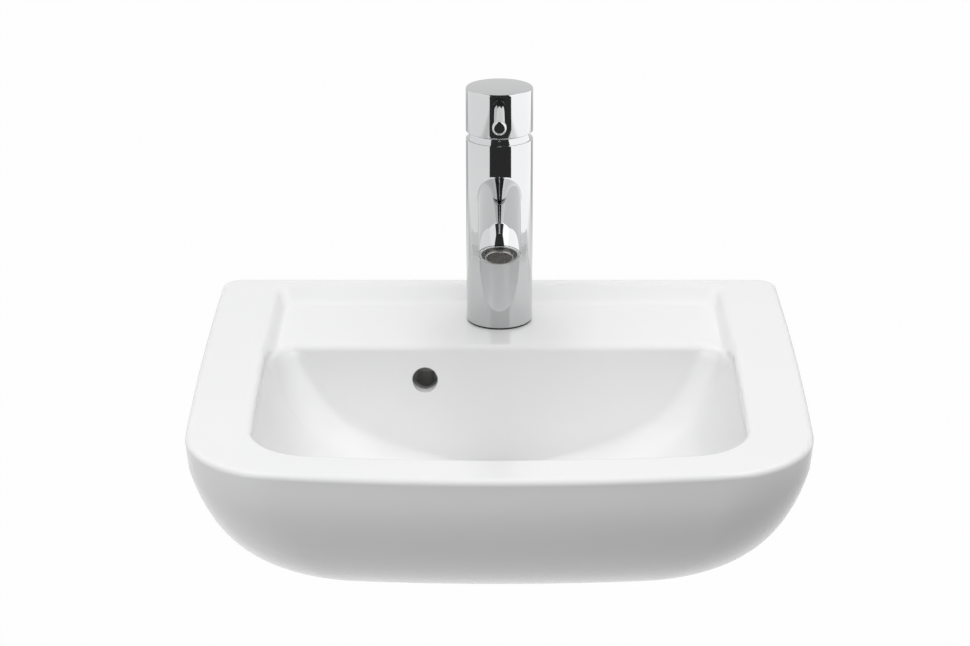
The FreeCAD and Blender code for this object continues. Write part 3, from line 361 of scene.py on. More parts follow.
def hex_nut(box: NodeBox, bore: float, axis: Axis) -> Surface:
    """Make a hexagon nut: each ring is the smaller of the hexagon and a chamfer cone of 30 degrees.

    Args:
        box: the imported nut's box, with its flats to the front and the back.
        bore: the hole's radius.
        axis: the line it screws along.

    Returns:
        The closed surface.
    """
    low, high = box.low[2], box.high[2]
    angle = full_turn(NUT_SEGMENTS)
    sixth, flat = math.pi / 3.0, (box.high[1] - box.low[1]) / 2.0
    hexagon = flat / np.cos(angle % sixth - sixth / 2.0)
    limit = np.linspace(flat, hexagon.max(), CHAMFER_RINGS)
    rise = (limit - flat) * math.tan(sixth / 2.0)
    limits = np.concatenate([[bore], limit, limit[::-1], [bore]])
    heights = np.concatenate([[low], low + rise, high - rise[::-1], [high]])
    radius = np.minimum(hexagon, limits[:, None])
    return Surface(axis.turn(radius, heights[:, None], angle), rows_closed=True)


def rod(radius: float, low: float, high: float, axis: Axis) -> Surface:
    """Make a plain closed cylinder between two heights, as a tool."""
    return lathe(np.array([(0.0, low), (radius, low), (radius, high), (0.0, high)]), axis, HOLE_SEGMENTS)


def slab(low: np.ndarray, high: np.ndarray) -> Surface:
    """Make a closed box between two corners, as a tool: a square carried up, with a hub in each end.

    Args:
        low: the lowest corner.
        high: the highest corner.

    Returns:
        The closed surface.
    """
    x = np.array([low[0], high[0], high[0], low[0]])
    y = np.array([low[1], low[1], high[1], high[1]])
    ring = np.stack([x, y, np.zeros_like(x)], axis=1)
    hub = np.broadcast_to((low + high) / 2.0 * (RIGHT - FRONT), ring.shape)
    rows = ((hub, low[2]), (ring, low[2]), (ring, high[2]), (hub, high[2]))
    return Surface(np.stack([plan + level * UP for plan, level in rows]))


NOISE_SPAN = (0.3, 0.7)
NOISE_DETAIL = 4.0

Colour = tuple[float, float, float]


def map_range(tree: bpy.types.NodeTree, source: bpy.types.NodeSocket, span: tuple[float, float],
              onto: tuple[float, float]) -> bpy.types.NodeSocket:
    """Carry one span of a value onto another, held at both ends.

    Args:
        tree: the material's nodes.
        source: the value.
        span: its lowest and highest.
        onto: what these two become.

    Returns:
        The result's socket.
    """
    node = tree.nodes.new("ShaderNodeMapRange")
    for name, value in zip(("From Min", "From Max", "To Min", "To Max"), (*span, *onto)):
        node.inputs[name].default_value = value
    tree.links.new(source, node.inputs["Value"])
    return node.outputs["Result"]


@dataclass(frozen=True)
class Finish:
    """A surface finish: two tones and two roughnesses that a noise wanders between, and a fine relief.

    Args:
        name: the material's name.
        tones: the darker and the lighter colour.
        roughness: the smoother and the rougher value.
        metallic: 1 for metal.
        grain: how many noise cells there are in a metre, for tone, roughness and relief.
        stretch: how much shorter the cells are along X, Y and Z.
        relief: the relief's height in metres.
        ior: the index of refraction.
    """

    name: str
    tones: tuple[Colour, Colour]
    roughness: tuple[float, float]
    metallic: float = 0.0
    grain: tuple[float, float, float] = (40.0, 90.0, 200.0)
    stretch: tuple[float, float, float] = (1.0, 1.0, 1.0)
    relief: float = 0.00002
    ior: float = 1.5

    def material(self) -> bpy.types.Material:
        """Make the material, or find it if it was made before.

        Returns:
            The material.
        """
        made = bpy.data.materials.get(self.name)
        if made is not None:
            return made
        made = bpy.data.materials.new(self.name)
        made.use_nodes = True
        nodes, links = made.node_tree.nodes, made.node_tree.links
        shader = nodes["Principled BSDF"]
        shader.inputs["Metallic"].default_value = self.metallic
        shader.inputs["IOR"].default_value = self.ior
        place = nodes.new("ShaderNodeTexCoord")
        mapping = nodes.new("ShaderNodeMapping")
        mapping.inputs["Scale"].default_value = self.stretch
        links.new(place.outputs["Object"], mapping.inputs["Vector"])
        tone, rough, relief = (self._noise(made.node_tree, mapping, scale) for scale in self.grain)

        blend = nodes.new("ShaderNodeValToRGB")
        for stop, colour, position in zip(blend.color_ramp.elements, self.tones, NOISE_SPAN):
            stop.color = (*colour, 1.0)
            stop.position = position
        links.new(tone, blend.inputs["Fac"])
        links.new(blend.outputs["Color"], shader.inputs["Base Color"])
        links.new(map_range(made.node_tree, rough, NOISE_SPAN, self.roughness), shader.inputs["Roughness"])

        bump = nodes.new("ShaderNodeBump")
        bump.inputs["Distance"].default_value = self.relief
        links.new(relief, bump.inputs["Height"])
        links.new(bump.outputs["Normal"], shader.inputs["Normal"])
        return made

    @staticmethod
    def _noise(tree: bpy.types.NodeTree, mapping: bpy.types.Node, scale: float) -> bpy.types.NodeSocket:
        """Add a noise.

        Args:
            tree: the material's nodes.
            mapping: the node that places it.
            scale: how many cells there are in a metre.

        Returns:
            The noise's socket.
        """
        noise = tree.nodes.new("ShaderNodeTexNoise")
        noise.inputs["Scale"].default_value = scale
        noise.inputs["Detail"].default_value = NOISE_DETAIL
        tree.links.new(mapping.outputs["Vector"], noise.inputs["Vector"])
        return noise.outputs["Fac"]


GLAZE = Finish("white_glaze", ((0.845, 0.848, 0.848), (0.865, 0.866, 0.864)), (0.15, 0.19),
               grain=(6.0, 14.0, 55.0), relief=0.00003)
# Painted shade: a dark grey that stands for the shade deep in the overflow's mouth and fall.
DUCT_PAINTED_SHADE = Finish("unglazed_duct", ((0.30, 0.298, 0.295), (0.37, 0.367, 0.363)), (0.7, 0.9),
                   grain=(30.0, 80.0, 600.0), relief=0.0001)
BARE_CLAY = Finish("bare_clay", ((0.70, 0.67, 0.61), (0.78, 0.75, 0.70)), (0.65, 0.85),
                   grain=(18.0, 60.0, 900.0), relief=0.00012)
CHROME = Finish("polished_chrome", ((0.535, 0.540, 0.545), (0.565, 0.570, 0.575)), (0.035, 0.06),
                metallic=1.0, grain=(14.0, 40.0, 70.0), relief=0.000002)
# Dark plastic, made darker still as painted shade for the shaded ring round the outlet.
JET_PLASTIC_AND_SHADE = Finish("jet_plastic", ((0.030, 0.030, 0.029), (0.055, 0.055, 0.052)), (0.22, 0.36),
                     grain=(300.0, 400.0, 1500.0), relief=0.00003)
JET_MESH = Finish("jet_mesh", ((0.05, 0.047, 0.043), (0.19, 0.178, 0.16)), (0.25, 0.4),
                  grain=(900.0, 400.0, 1500.0), relief=0.00003)
RUBBER = Finish("black_rubber", ((0.018, 0.018, 0.019), (0.035, 0.035, 0.036)), (0.55, 0.75),
                grain=(120.0, 300.0, 1800.0), relief=0.00004)
WHITE_PLASTIC = Finish("moulded_plastic", ((0.72, 0.72, 0.69), (0.79, 0.79, 0.77)), (0.38, 0.5),
                       grain=(60.0, 150.0, 1400.0), relief=0.00003)
DISC_CERAMIC = Finish("lapped_ceramic", ((0.80, 0.79, 0.76), (0.87, 0.86, 0.83)), (0.16, 0.28),
                      grain=(90.0, 260.0, 2200.0), relief=0.00001)
BRASS = Finish("turned_brass", ((0.66, 0.46, 0.18), (0.78, 0.58, 0.27)), (0.22, 0.36),
               metallic=1.0, grain=(70.0, 160.0, 500.0), stretch=(1.0, 1.0, 6.0))
STEEL = Finish("zinc_steel", ((0.48, 0.48, 0.47), (0.60, 0.60, 0.585)), (0.26, 0.42),
               metallic=1.0, grain=(80.0, 200.0, 700.0), stretch=(1.0, 1.0, 4.0))

SLOT_FINISH = {
    "glazed_ceramic": GLAZE,
    "tap_chrome": CHROME,
    "aerator_plastic": JET_PLASTIC_AND_SHADE,
    "seal_rubber": RUBBER,
    "cartridge_plastic": WHITE_PLASTIC,
    "disc_ceramic": DISC_CERAMIC,
    "brass": BRASS,
    "steel": STEEL,
}


def dress(piece: bpy.types.Object, *finishes: Finish) -> None:
    """Give a piece its finishes, one material slot each.

    Args:
        piece: the piece.
        finishes: what its slots hold, in order.
    """
    piece.data.materials.clear()
    for finish in finishes:
        piece.data.materials.append(finish.material())


def face_vectors(mesh: bpy.types.Mesh, name: str) -> np.ndarray:
    """Read a vector of every face.

    Args:
        mesh: the mesh.
        name: what is read, the centre or the normal.

    Returns:
        Faces by three coordinates.
    """
    values = np.empty(3 * len(mesh.polygons))
    mesh.polygons.foreach_get(name, values)
    return values.reshape(-1, 3)


def ring_out(piece: bpy.types.Object, axis: Axis, radius: float) -> None:
    """Give a piece's faces outside a radius about an axis its second finish.

    Args:
        piece: the piece, with two finishes.
        axis: the line.
        radius: where the second finish starts.
    """
    away = face_vectors(piece.data, "center") / MM - axis.base
    across = np.linalg.norm(away - (away @ axis.along)[:, None] * axis.along, axis=1)
    piece.data.polygons.foreach_set("material_index", (across > radius).astype(np.int32))


def seat(piece: bpy.types.Object, body: str, slot: str, *nodes: str) -> None:
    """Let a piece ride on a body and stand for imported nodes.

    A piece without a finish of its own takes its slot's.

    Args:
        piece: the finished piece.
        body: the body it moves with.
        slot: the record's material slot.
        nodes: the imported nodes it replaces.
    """
    if not any(piece.data.materials):
        dress(piece, SLOT_FINISH[slot])
    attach(piece, body)
    if nodes:
        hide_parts(*nodes)
    LOG.info("%s rides on %s, %d faces", piece.name, body, len(piece.data.polygons))


RING_COLUMNS = ("half", "back", "front", "front_corner", "back_corner", "level", "ledge_level", "draw_in")


def rings(count: int, **columns: float | np.ndarray) -> np.ndarray:
    """Stack named columns, numbers or arrays, into rows of the basin's rings."""
    return np.stack([np.broadcast_to(columns[name], count) for name in RING_COLUMNS], axis=1)


@dataclass
class Basin:
    """The glazed casting, one closed family of rings from the waste hole over the rim and back below.

    Each ring is a plan outline: a straight back, bowed sides, a bowed front and four corner arcs, all
    tangent. Near the back a ring can lie at a second level and be drawn in, which makes the tap ledge.
    Bows, corners, edges and the nose are radii, and a power bends the curve that it is named for. The
    hull's depth and its taper's share tell where its curves would end if the foot didn't cut them off.
    """

    side_bow: float = 5000.0
    front_bow: float = 1050.0
    rim_corner: float = 68.0
    wall_corner: float = 10.0
    rim_edge: float = 3.6
    rim_band: float = 12.0
    rear_edge: float = 1.5
    hull_depth: float = 146.0
    taper_share: float = 0.233
    corner_growth_share: float = 0.3
    taper_power: float = 1.3
    hull_power: float = 0.59
    hollow_power: float = 0.5
    row_power: float = 0.8
    keel: float = 120.0
    wall: float = 10.0
    back_plate: float = 12.0
    ledge_drop: float = 8.5
    ledge_thickness: float = 12.0
    ledge_border: float = 11.0
    ledge_slope: float = 22.0
    ledge_corner: float = 14.0
    ledge_draw_in: float = 6.0
    border_side: float = 9.0
    border_power: float = 0.6
    nose: float = 4.5
    nose_corner: float = 12.0
    nose_ramp: float = 32.0
    nose_draw_in: float = 8.5
    draw_in_depth: float = 20.0
    inner_edge: float = 5.0
    bowl_half: float = 160.0
    bowl_back: float = 110.0
    bowl_front: float = 312.0
    bowl_depth: float = 90.0
    bowl_corner: float = 40.0
    lean_share: float = 0.33
    side_power: int = 6
    front_power: float = 0.72
    back_power: float = 0.9
    back_sweep: float = 7.0
    well: float = 36.0
    well_corner: float = 32.4
    waste_hole: float = 23.0
    boss: float = 37.0
    boss_depth: float = 24.0
    round_share: float = 0.97
    foot_band: float = 1.5
    tap_hole: float = 17.5
    notch_half: float = 80.0
    notch_top: float = -32.0
    overrun: float = 2.0
    rows: dict[str, int] = field(default_factory=lambda: {
        "bowl": 30, "nose": 10, "ledge": 9, "border": 18, "rim": 4, "edge": 11, "hull": 30,
        "hollow": 20, "outside": 17})
    columns: dict[str, int] = field(default_factory=lambda: {
        "front": 26, "front_corner": 28, "side": 44, "back_corner": 16, "back": 22})

    def __post_init__(self) -> None:
        """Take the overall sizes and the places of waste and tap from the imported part."""
        box = NodeBox.of("basin")
        self.half, self.reach = box.high[0], -box.low[1]
        self.rim, self.foot = box.high[2], box.low[2]
        self.waste, self.tap = (NodeBox.of(node).forward for node in ("waste_body", "tap_body"))
        self.ledge = self.rim - self.ledge_drop
        self.nose_share = (self.ledge_drop + self.nose) / self.bowl_depth

    def bowl_at(self, share: np.ndarray, wall: float = 0.0) -> dict[str, np.ndarray]:
        """Give the bowl's outline at shares s of its depth, as columns of rings.

        The width falls evenly at first and then as a power of s, the front and the back run in as
        powers of 1 - s^2. Below the nose the back corners widen, most at half depth.

        Args:
            share: depth shares, 0 at the rim and 1 at the well's floor.
            wall: how much the outline is grown, for the bowl's outside.

        Returns:
            The columns that describe the outline.
        """
        left = np.clip(1.0 - share ** 2, 0.0, 1.0)
        lean = self.lean_share
        width = np.clip(1.0 - lean * share - (1.0 - lean) * share ** self.side_power, 0.0, 1.0)
        behind, before = self.waste - self.well, self.waste + self.well
        below = np.clip((share - self.nose_share) / (1.0 - self.nose_share), 0.0, 1.0)
        sweep = 4.0 * self.back_sweep * below * (1.0 - below)
        return {
            "half": self.well + width * (self.bowl_half - self.well) + wall,
            "front": before + left ** self.front_power * (self.bowl_front - before) + wall,
            "back": behind - left ** self.back_power * (behind - self.bowl_back) - wall,
            "front_corner": self.well_corner + width * (self.bowl_corner - self.well_corner) + wall,
            "back_corner": self.well_corner + width ** 2 * (self.nose_corner - self.well_corner)
            + sweep + wall,
        }

    def bowl_rings(self) -> np.ndarray:
        """Rise from the well's floor to just under the nose: depth is the sine of an even turn.

        Returns:
            The rings.
        """
        share = np.sin(np.linspace(QUARTER_TURN, math.asin(self.nose_share), self.rows["bowl"]))
        level = self.rim - share * self.bowl_depth
        fade = np.exp((self.nose_share - share) * self.bowl_depth / self.draw_in_depth)
        return rings(len(share), level=level, ledge_level=level, draw_in=self.nose_draw_in * fade,
                     **self.bowl_at(share))

    def ledge_rings(self) -> np.ndarray:
        """Go over the nose, along the ledge and up its border, while the sides climb to the rim.

        The border falls off quickly below the rim and runs out slowly on the ledge.

        Returns:
            The rings.
        """
        nose_rows, flat_rows, slope_rows = (self.rows[name] for name in ("nose", "ledge", "border"))
        wall_top = self.rim - self.inner_edge
        nose_low = self.ledge - self.nose
        turn = np.linspace(0.0, QUARTER_TURN, nose_rows + 1)[1:]
        climb = np.linspace(0.0, 1.0, nose_rows + flat_rows + 1)[1:]
        level = nose_low + climb * (wall_top - nose_low)
        columns = self.bowl_at((self.rim - level) / self.bowl_depth)
        under_nose = self.bowl_at(np.array((self.rim - nose_low) / self.bowl_depth))
        nose_middle = float(under_nose["back"]) - self.nose
        flat = np.linspace(0.0, 1.0, flat_rows + 1)[1:]
        rear = self.ledge_border + self.ledge_slope
        columns["back"] = np.concatenate([
            nose_middle + self.nose * np.cos(turn), nose_middle + flat * (rear - nose_middle)])
        columns["back_corner"] = np.concatenate([
            np.full(nose_rows, self.nose_corner),
            self.nose_corner + flat * (self.ledge_corner - self.nose_corner)])
        ledge_level = np.concatenate([nose_low + self.nose * np.sin(turn), np.full(flat_rows, self.ledge)])
        draw_in = self.nose_draw_in + climb * (self.ledge_draw_in - self.nose_draw_in)
        lower = rings(len(level), level=level, ledge_level=ledge_level, draw_in=draw_in, **columns)

        share = np.linspace(0.0, 1.0, slope_rows + 1)[1:]
        turn = share * math.pi / 2.0
        out = self.inner_edge * (1.0 - np.cos(turn))
        run = 1.0 - (1.0 - share) ** self.border_power
        upper = rings(
            slope_rows, half=columns["half"][-1] + out, front=columns["front"][-1] + out,
            back=rear - share * self.ledge_slope, front_corner=columns["front_corner"][-1] + out,
            back_corner=self.ledge_corner, level=wall_top + self.inner_edge * np.sin(turn),
            ledge_level=self.ledge + self.ledge_drop * smooth(run),
            draw_in=self.ledge_draw_in + out - self.border_side * run)
        return np.vstack([lower, upper])

    def rim_rings(self, inner: np.ndarray) -> np.ndarray:
        """Cross the flat rim from its inner ring and go over its outer edge and down the band.

        Args:
            inner: the rim's inner ring.

        Returns:
            The rings.
        """
        turn = np.linspace(0.0, QUARTER_TURN, self.rows["edge"])
        short = 1.0 - np.sin(turn)
        set_in = self.rim_edge * short
        level = self.rim - self.rim_edge * (1.0 - np.cos(turn))
        edge = rings(
            len(turn), half=self.half - set_in, back=self.rear_edge * short, front=self.reach - set_in,
            front_corner=self.rim_corner - set_in, back_corner=self.wall_corner, level=level,
            ledge_level=level, draw_in=0.0)
        share = np.linspace(0.0, 1.0, self.rows["rim"] + 2)[1:-1, None]
        return np.vstack([inner + share * (edge[0] - inner), edge])

    def hull_at(self, share: np.ndarray, inset: float, back: float, drop: float, power: float) -> np.ndarray:
        """Give rings of the hull: it narrows as a power of s and its front runs back as one of 1 - s^2.

        Args:
            share: depth shares s below the rim band.
            inset: how far the outline is drawn in.
            back: the back's distance from the wall.
            drop: the depth that a share of 1 stands for.
            power: the front's power.

        Returns:
            The rings.
        """
        level = self.rim - self.rim_band - share * drop
        taper = self.taper_share * share ** self.taper_power
        return rings(
            len(share), half=(self.half - inset) * (1.0 - taper), back=back,
            front=self.keel + (self.reach - inset - self.keel) * (1.0 - share ** 2) ** power,
            front_corner=(self.rim_corner - inset) * (1.0 + self.corner_growth_share * share),
            back_corner=self.wall_corner, level=level, ledge_level=level, draw_in=0.0)

    def under_rings(self) -> np.ndarray:
        """Go down the hull, in under its foot, up the hollow, and down the bowl's outside to the boss.

        Returns:
            The rings.
        """
        drop = self.hull_depth - self.rim_band
        foot_share = (self.rim - self.rim_band - self.foot) / drop
        share = foot_share * np.linspace(0.0, 1.0, self.rows["hull"] + 1)[1:] ** self.row_power
        hull = self.hull_at(share, 0.0, 0.0, drop, self.hull_power)

        inner_drop = drop - self.wall
        ceiling = self.ledge - self.ledge_thickness
        ends = [(self.rim - self.rim_band - level) / inner_drop for level in (self.foot, ceiling)]
        share = np.linspace(*ends, self.rows["hollow"])
        hollow = self.hull_at(share, self.wall, self.back_plate, inner_drop, self.hollow_power)

        outside_depth = self.bowl_depth + self.wall
        start = math.asin((self.rim - ceiling) / outside_depth)
        share = np.sin(np.linspace(start, QUARTER_TURN, self.rows["outside"] + 1))[:-1]
        level = self.rim - share * outside_depth
        outline = self.bowl_at(share, self.wall)
        outside = rings(len(share), level=level, ledge_level=level, draw_in=0.0, **outline)
        return np.vstack([hull, hollow, outside])

    def round_rings(self) -> np.ndarray:
        """Go round the waste boss and up the waste hole to the well's floor.

        Returns:
            The rings, whose corners are nearly as large as the rings themselves.
        """
        floor = self.rim - self.bowl_depth
        radius = np.array([self.boss, self.boss, self.waste_hole, self.waste_hole])
        level = np.array([floor - self.wall, floor - self.boss_depth, floor - self.boss_depth, floor])
        corner = self.round_share * radius
        return rings(len(radius), half=radius, back=self.waste - radius, front=self.waste + radius,
                     front_corner=corner, back_corner=corner, level=level, ledge_level=level, draw_in=0.0)

    def outline(self, chain: np.ndarray) -> np.ndarray:
        """Turn rings into points, each ring a tangent chain of arcs mirrored about the middle.

        The front corner's centre lies where circles about the front's and the side's centres cross.

        Args:
            chain: the rings.

        Returns:
            Rings by columns by three coordinates.
        """
        half, back, front, front_corner, back_corner, level, ledge_level, draw_in = chain.T[:, :, None]
        side_x, front_y = half - self.side_bow, self.front_bow - front
        from_side, from_front = self.side_bow - front_corner, self.front_bow - front_corner
        apart_x, apart_y = -side_x, front_y + back
        span = np.hypot(apart_x, apart_y)
        along = (from_side ** 2 - from_front ** 2 + span ** 2) / (2.0 * span)
        across = np.sqrt(from_side ** 2 - along ** 2)
        corner_x = side_x + (apart_x * along + apart_y * across) / span
        corner_y = -back + (apart_y * along - apart_x * across) / span
        back_x = side_x + np.sqrt((self.side_bow - back_corner) ** 2 - back_corner ** 2)

        front_turn = np.arctan2(corner_y - front_y, corner_x)
        side_turn = np.arctan2(corner_y + back, corner_x - side_x)
        back_turn = np.arctan2(-back_corner, back_x - side_x)
        arcs = (
            ("front", 0.0, front_y, self.front_bow, -QUARTER_TURN, front_turn),
            ("front_corner", corner_x, corner_y, front_corner, front_turn, side_turn),
            ("side", side_x, -back, self.side_bow, side_turn, back_turn),
            ("back_corner", back_x, -back - back_corner, back_corner, back_turn, QUARTER_TURN),
        )
        runs = []
        for name, middle_x, middle_y, radius, start, end in arcs:
            share = np.linspace(0.0, 1.0, self.columns[name], endpoint=False)
            turn = start + (end - start) * share
            x, y = middle_x + radius * np.cos(turn), middle_y + radius * np.sin(turn)
            runs.append(np.stack([x, y], axis=-1))
        share = np.linspace(1.0, 0.0, self.columns["back"])
        runs.append(np.stack([back_x * share, np.broadcast_to(-back, (len(chain), len(share)))], axis=-1))
        right = np.concatenate(runs, axis=1)
        left = right[:, -2:0:-1] * np.array((-1.0, 1.0))
        plan = np.concatenate([right, left], axis=1)

        near, far = self.bowl_back - self.nose, self.bowl_back + self.nose_ramp
        on_ledge = smooth((plan[..., 1] + far) / (far - near))
        x = plan[..., 0] * (1.0 - draw_in * on_ledge / half)
        z = level + (ledge_level - level) * on_ledge
        return np.stack([x, plan[..., 1], z], axis=-1)

    def build(self) -> None:
        """Make the casting with its holes, dress it and put it in the node's place."""
        inner = np.vstack([self.bowl_rings(), self.ledge_rings()])
        chain = np.vstack([inner, self.rim_rings(inner[-1]), self.under_rings(), self.round_rings()])
        casting = make_piece("basin_casting", Surface(self.outline(chain), rows_closed=True))
        # The third finish is painted shade for the overflow's inside.
        dress(casting, GLAZE, BARE_CLAY, DUCT_PAINTED_SHADE)
        overflow = Overflow(self)
        overflow.cut_into(casting)
        self.cut_holes(casting)
        self.mark_bare_and_painted_shade(casting.data, overflow)
        seat(casting, "root", "glazed_ceramic", "basin")

    def cut_holes(self, casting: bpy.types.Object) -> None:
        """Cut the tap hole, the two wall fixing holes and the pipe notch.

        Args:
            casting: the casting, still whole there.
        """
        bolts = mount_sizes("wall_bolts")
        past = self.overrun
        tools = [rod(self.tap_hole, self.ledge - self.ledge_thickness - past, self.ledge + past,
                     upright(self.tap))]
        for way in BOTH_WAYS:
            axis = Axis(np.array((way * bolts["spacing_x_mm"] / 2.0, 0.0, 0.0)), FRONT, RIGHT)
            tools.append(rod(bolts["hole_r_mm"], -past, self.back_plate + past, axis))
        tools.append(slab(np.array((-self.notch_half, -self.back_plate - past, self.foot - past)),
                          np.array((self.notch_half, past, self.notch_top))))
        combine(casting, make_piece("hole_cutter", *tools), Cut.AWAY)

    def mark_bare_and_painted_shade(self, mesh: bpy.types.Mesh, overflow: "Overflow") -> None:
        """Leave the wall face and the foot bare, as a fired casting is, and paint shade dark grey inside the
        overflow.

        Args:
            mesh: the casting's mesh, with the three finishes in order.
            overflow: the overflow that is cut in it.
        """
        faces_wall, faces_floor = 0.9, 0.99
        centres, normals = face_vectors(mesh, "center") / MM, face_vectors(mesh, "normal")
        at_wall = (centres[:, 1] > -self.rear_edge / 2.0) & (normals[:, 1] > faces_wall)
        at_foot = (centres[:, 2] < self.foot + self.foot_band) & (normals[:, 2] < -faces_floor)
        finish = np.zeros(len(mesh.polygons), np.int32)
        finish[at_wall | at_foot] = 1
        # Painted shade: the overflow's mouth and fall are coloured dark grey.
        finish[overflow.in_painted_shade(centres)] = 2
        mesh.polygons.foreach_set("material_index", finish)
        mesh.update()


@dataclass
class Overflow:
    """The overflow: a round mouth in the bowl's back, a fall behind it and a run under it to the waste."""

    basin: Basin
    mouth: float = 8.75
    offset: float = 51.0
    drop: float = 24.0
    from_wall: float = 97.0
    bore: float = 6.0
    wall: float = 6.0
    elbow_depth: float = 12.0
    bend: float = 14.0
    bend_rows: int = 12
    throat: float = 10.5
    slack: float = 0.2
    segments: int = 48

    @property
    def top(self) -> np.ndarray:
        """Give the place where the mouth meets the fall."""
        return np.array((-self.offset, -self.from_wall, self.basin.ledge - self.drop))

    def in_painted_shade(self, points: np.ndarray) -> np.ndarray:
        """Tell which points get the painted shade: in the fall, or in the mouth behind its glazed throat.

        Args:
            points: the points, in millimetres.

        Returns:
            True for each one that gets the painted shade.
        """
        x, y, z = (points - self.top).T
        in_mouth = (np.hypot(x, z) < self.mouth + self.slack) & (np.abs(y) < self.throat)
        in_fall = (np.hypot(x, y) < self.bore + self.slack) & (z < self.mouth)
        return in_mouth | in_fall

    def path(self) -> tuple[np.ndarray, np.ndarray, np.ndarray]:
        """Trace the duct: a straight fall, a bend and a straight run to the waste's axis.

        Returns:
            Its points, its unit directions and the unit direction square to its plane.
        """
        basin, top = self.basin, self.top
        low = basin.rim - basin.bowl_depth - self.elbow_depth
        ahead = np.array((self.offset, self.from_wall - basin.waste, 0.0))
        run = np.linalg.norm(ahead)
        ahead = ahead / run
        turn = np.linspace(0.0, QUARTER_TURN, self.bend_rows)[:, None]
        elbow = np.array((top[0], top[1], low))
        bend = elbow + self.bend * ((1.0 - np.cos(turn)) * ahead + (1.0 - np.sin(turn)) * UP)
        points = np.vstack([top, bend, elbow + run * ahead])
        directions = np.vstack([-UP, np.sin(turn) * ahead - np.cos(turn) * UP, ahead])
        return points, directions, np.cross(UP, ahead)

    def duct(self, radius: float, rise: float) -> Surface:
        """Carry a circle along the duct, centre + r (cos a side + sin a normal), and close its ends.

        Args:
            radius: the circle's radius.
            rise: how far the duct's top is raised.

        Returns:
            The closed tube.
        """
        points, directions, side = self.path()
        points[0, 2] += rise
        angle = full_turn(self.segments)[None, :, None]
        normal = np.cross(side, directions)[:, None]
        grid = points[:, None] + radius * (np.cos(angle) * side + np.sin(angle) * normal)
        ends = [np.broadcast_to(point, grid[:1].shape) for point in (points[0], points[-1])]
        return Surface(np.concatenate([ends[0], grid, ends[1]]))

    def cut_into(self, casting: bpy.types.Object) -> None:
        """Join the duct's walls to the casting and cut its bore and mouth.

        Args:
            casting: the casting, still whole there.
        """
        basin = self.basin
        ceiling = basin.ledge - basin.ledge_thickness
        rise = ceiling + basin.wall / 2.0 - self.top[2]
        combine(casting, make_piece("duct_wall", self.duct(self.bore + self.wall, rise)), Cut.JOIN)
        combine(casting, make_piece("duct_bore", self.duct(self.bore, 0.0)), Cut.AWAY)
        reach = basin.bowl_back + basin.wall - self.from_wall
        side = ((self.mouth, depth) for depth in (0.0, self.throat, reach))
        profile = np.array([(0.0, 0.0), *side, (0.0, reach)])
        mouth = lathe(profile, Axis(self.top, FRONT, RIGHT), HOLE_SEGMENTS)
        combine(casting, make_piece("mouth_bore", mouth), Cut.AWAY)


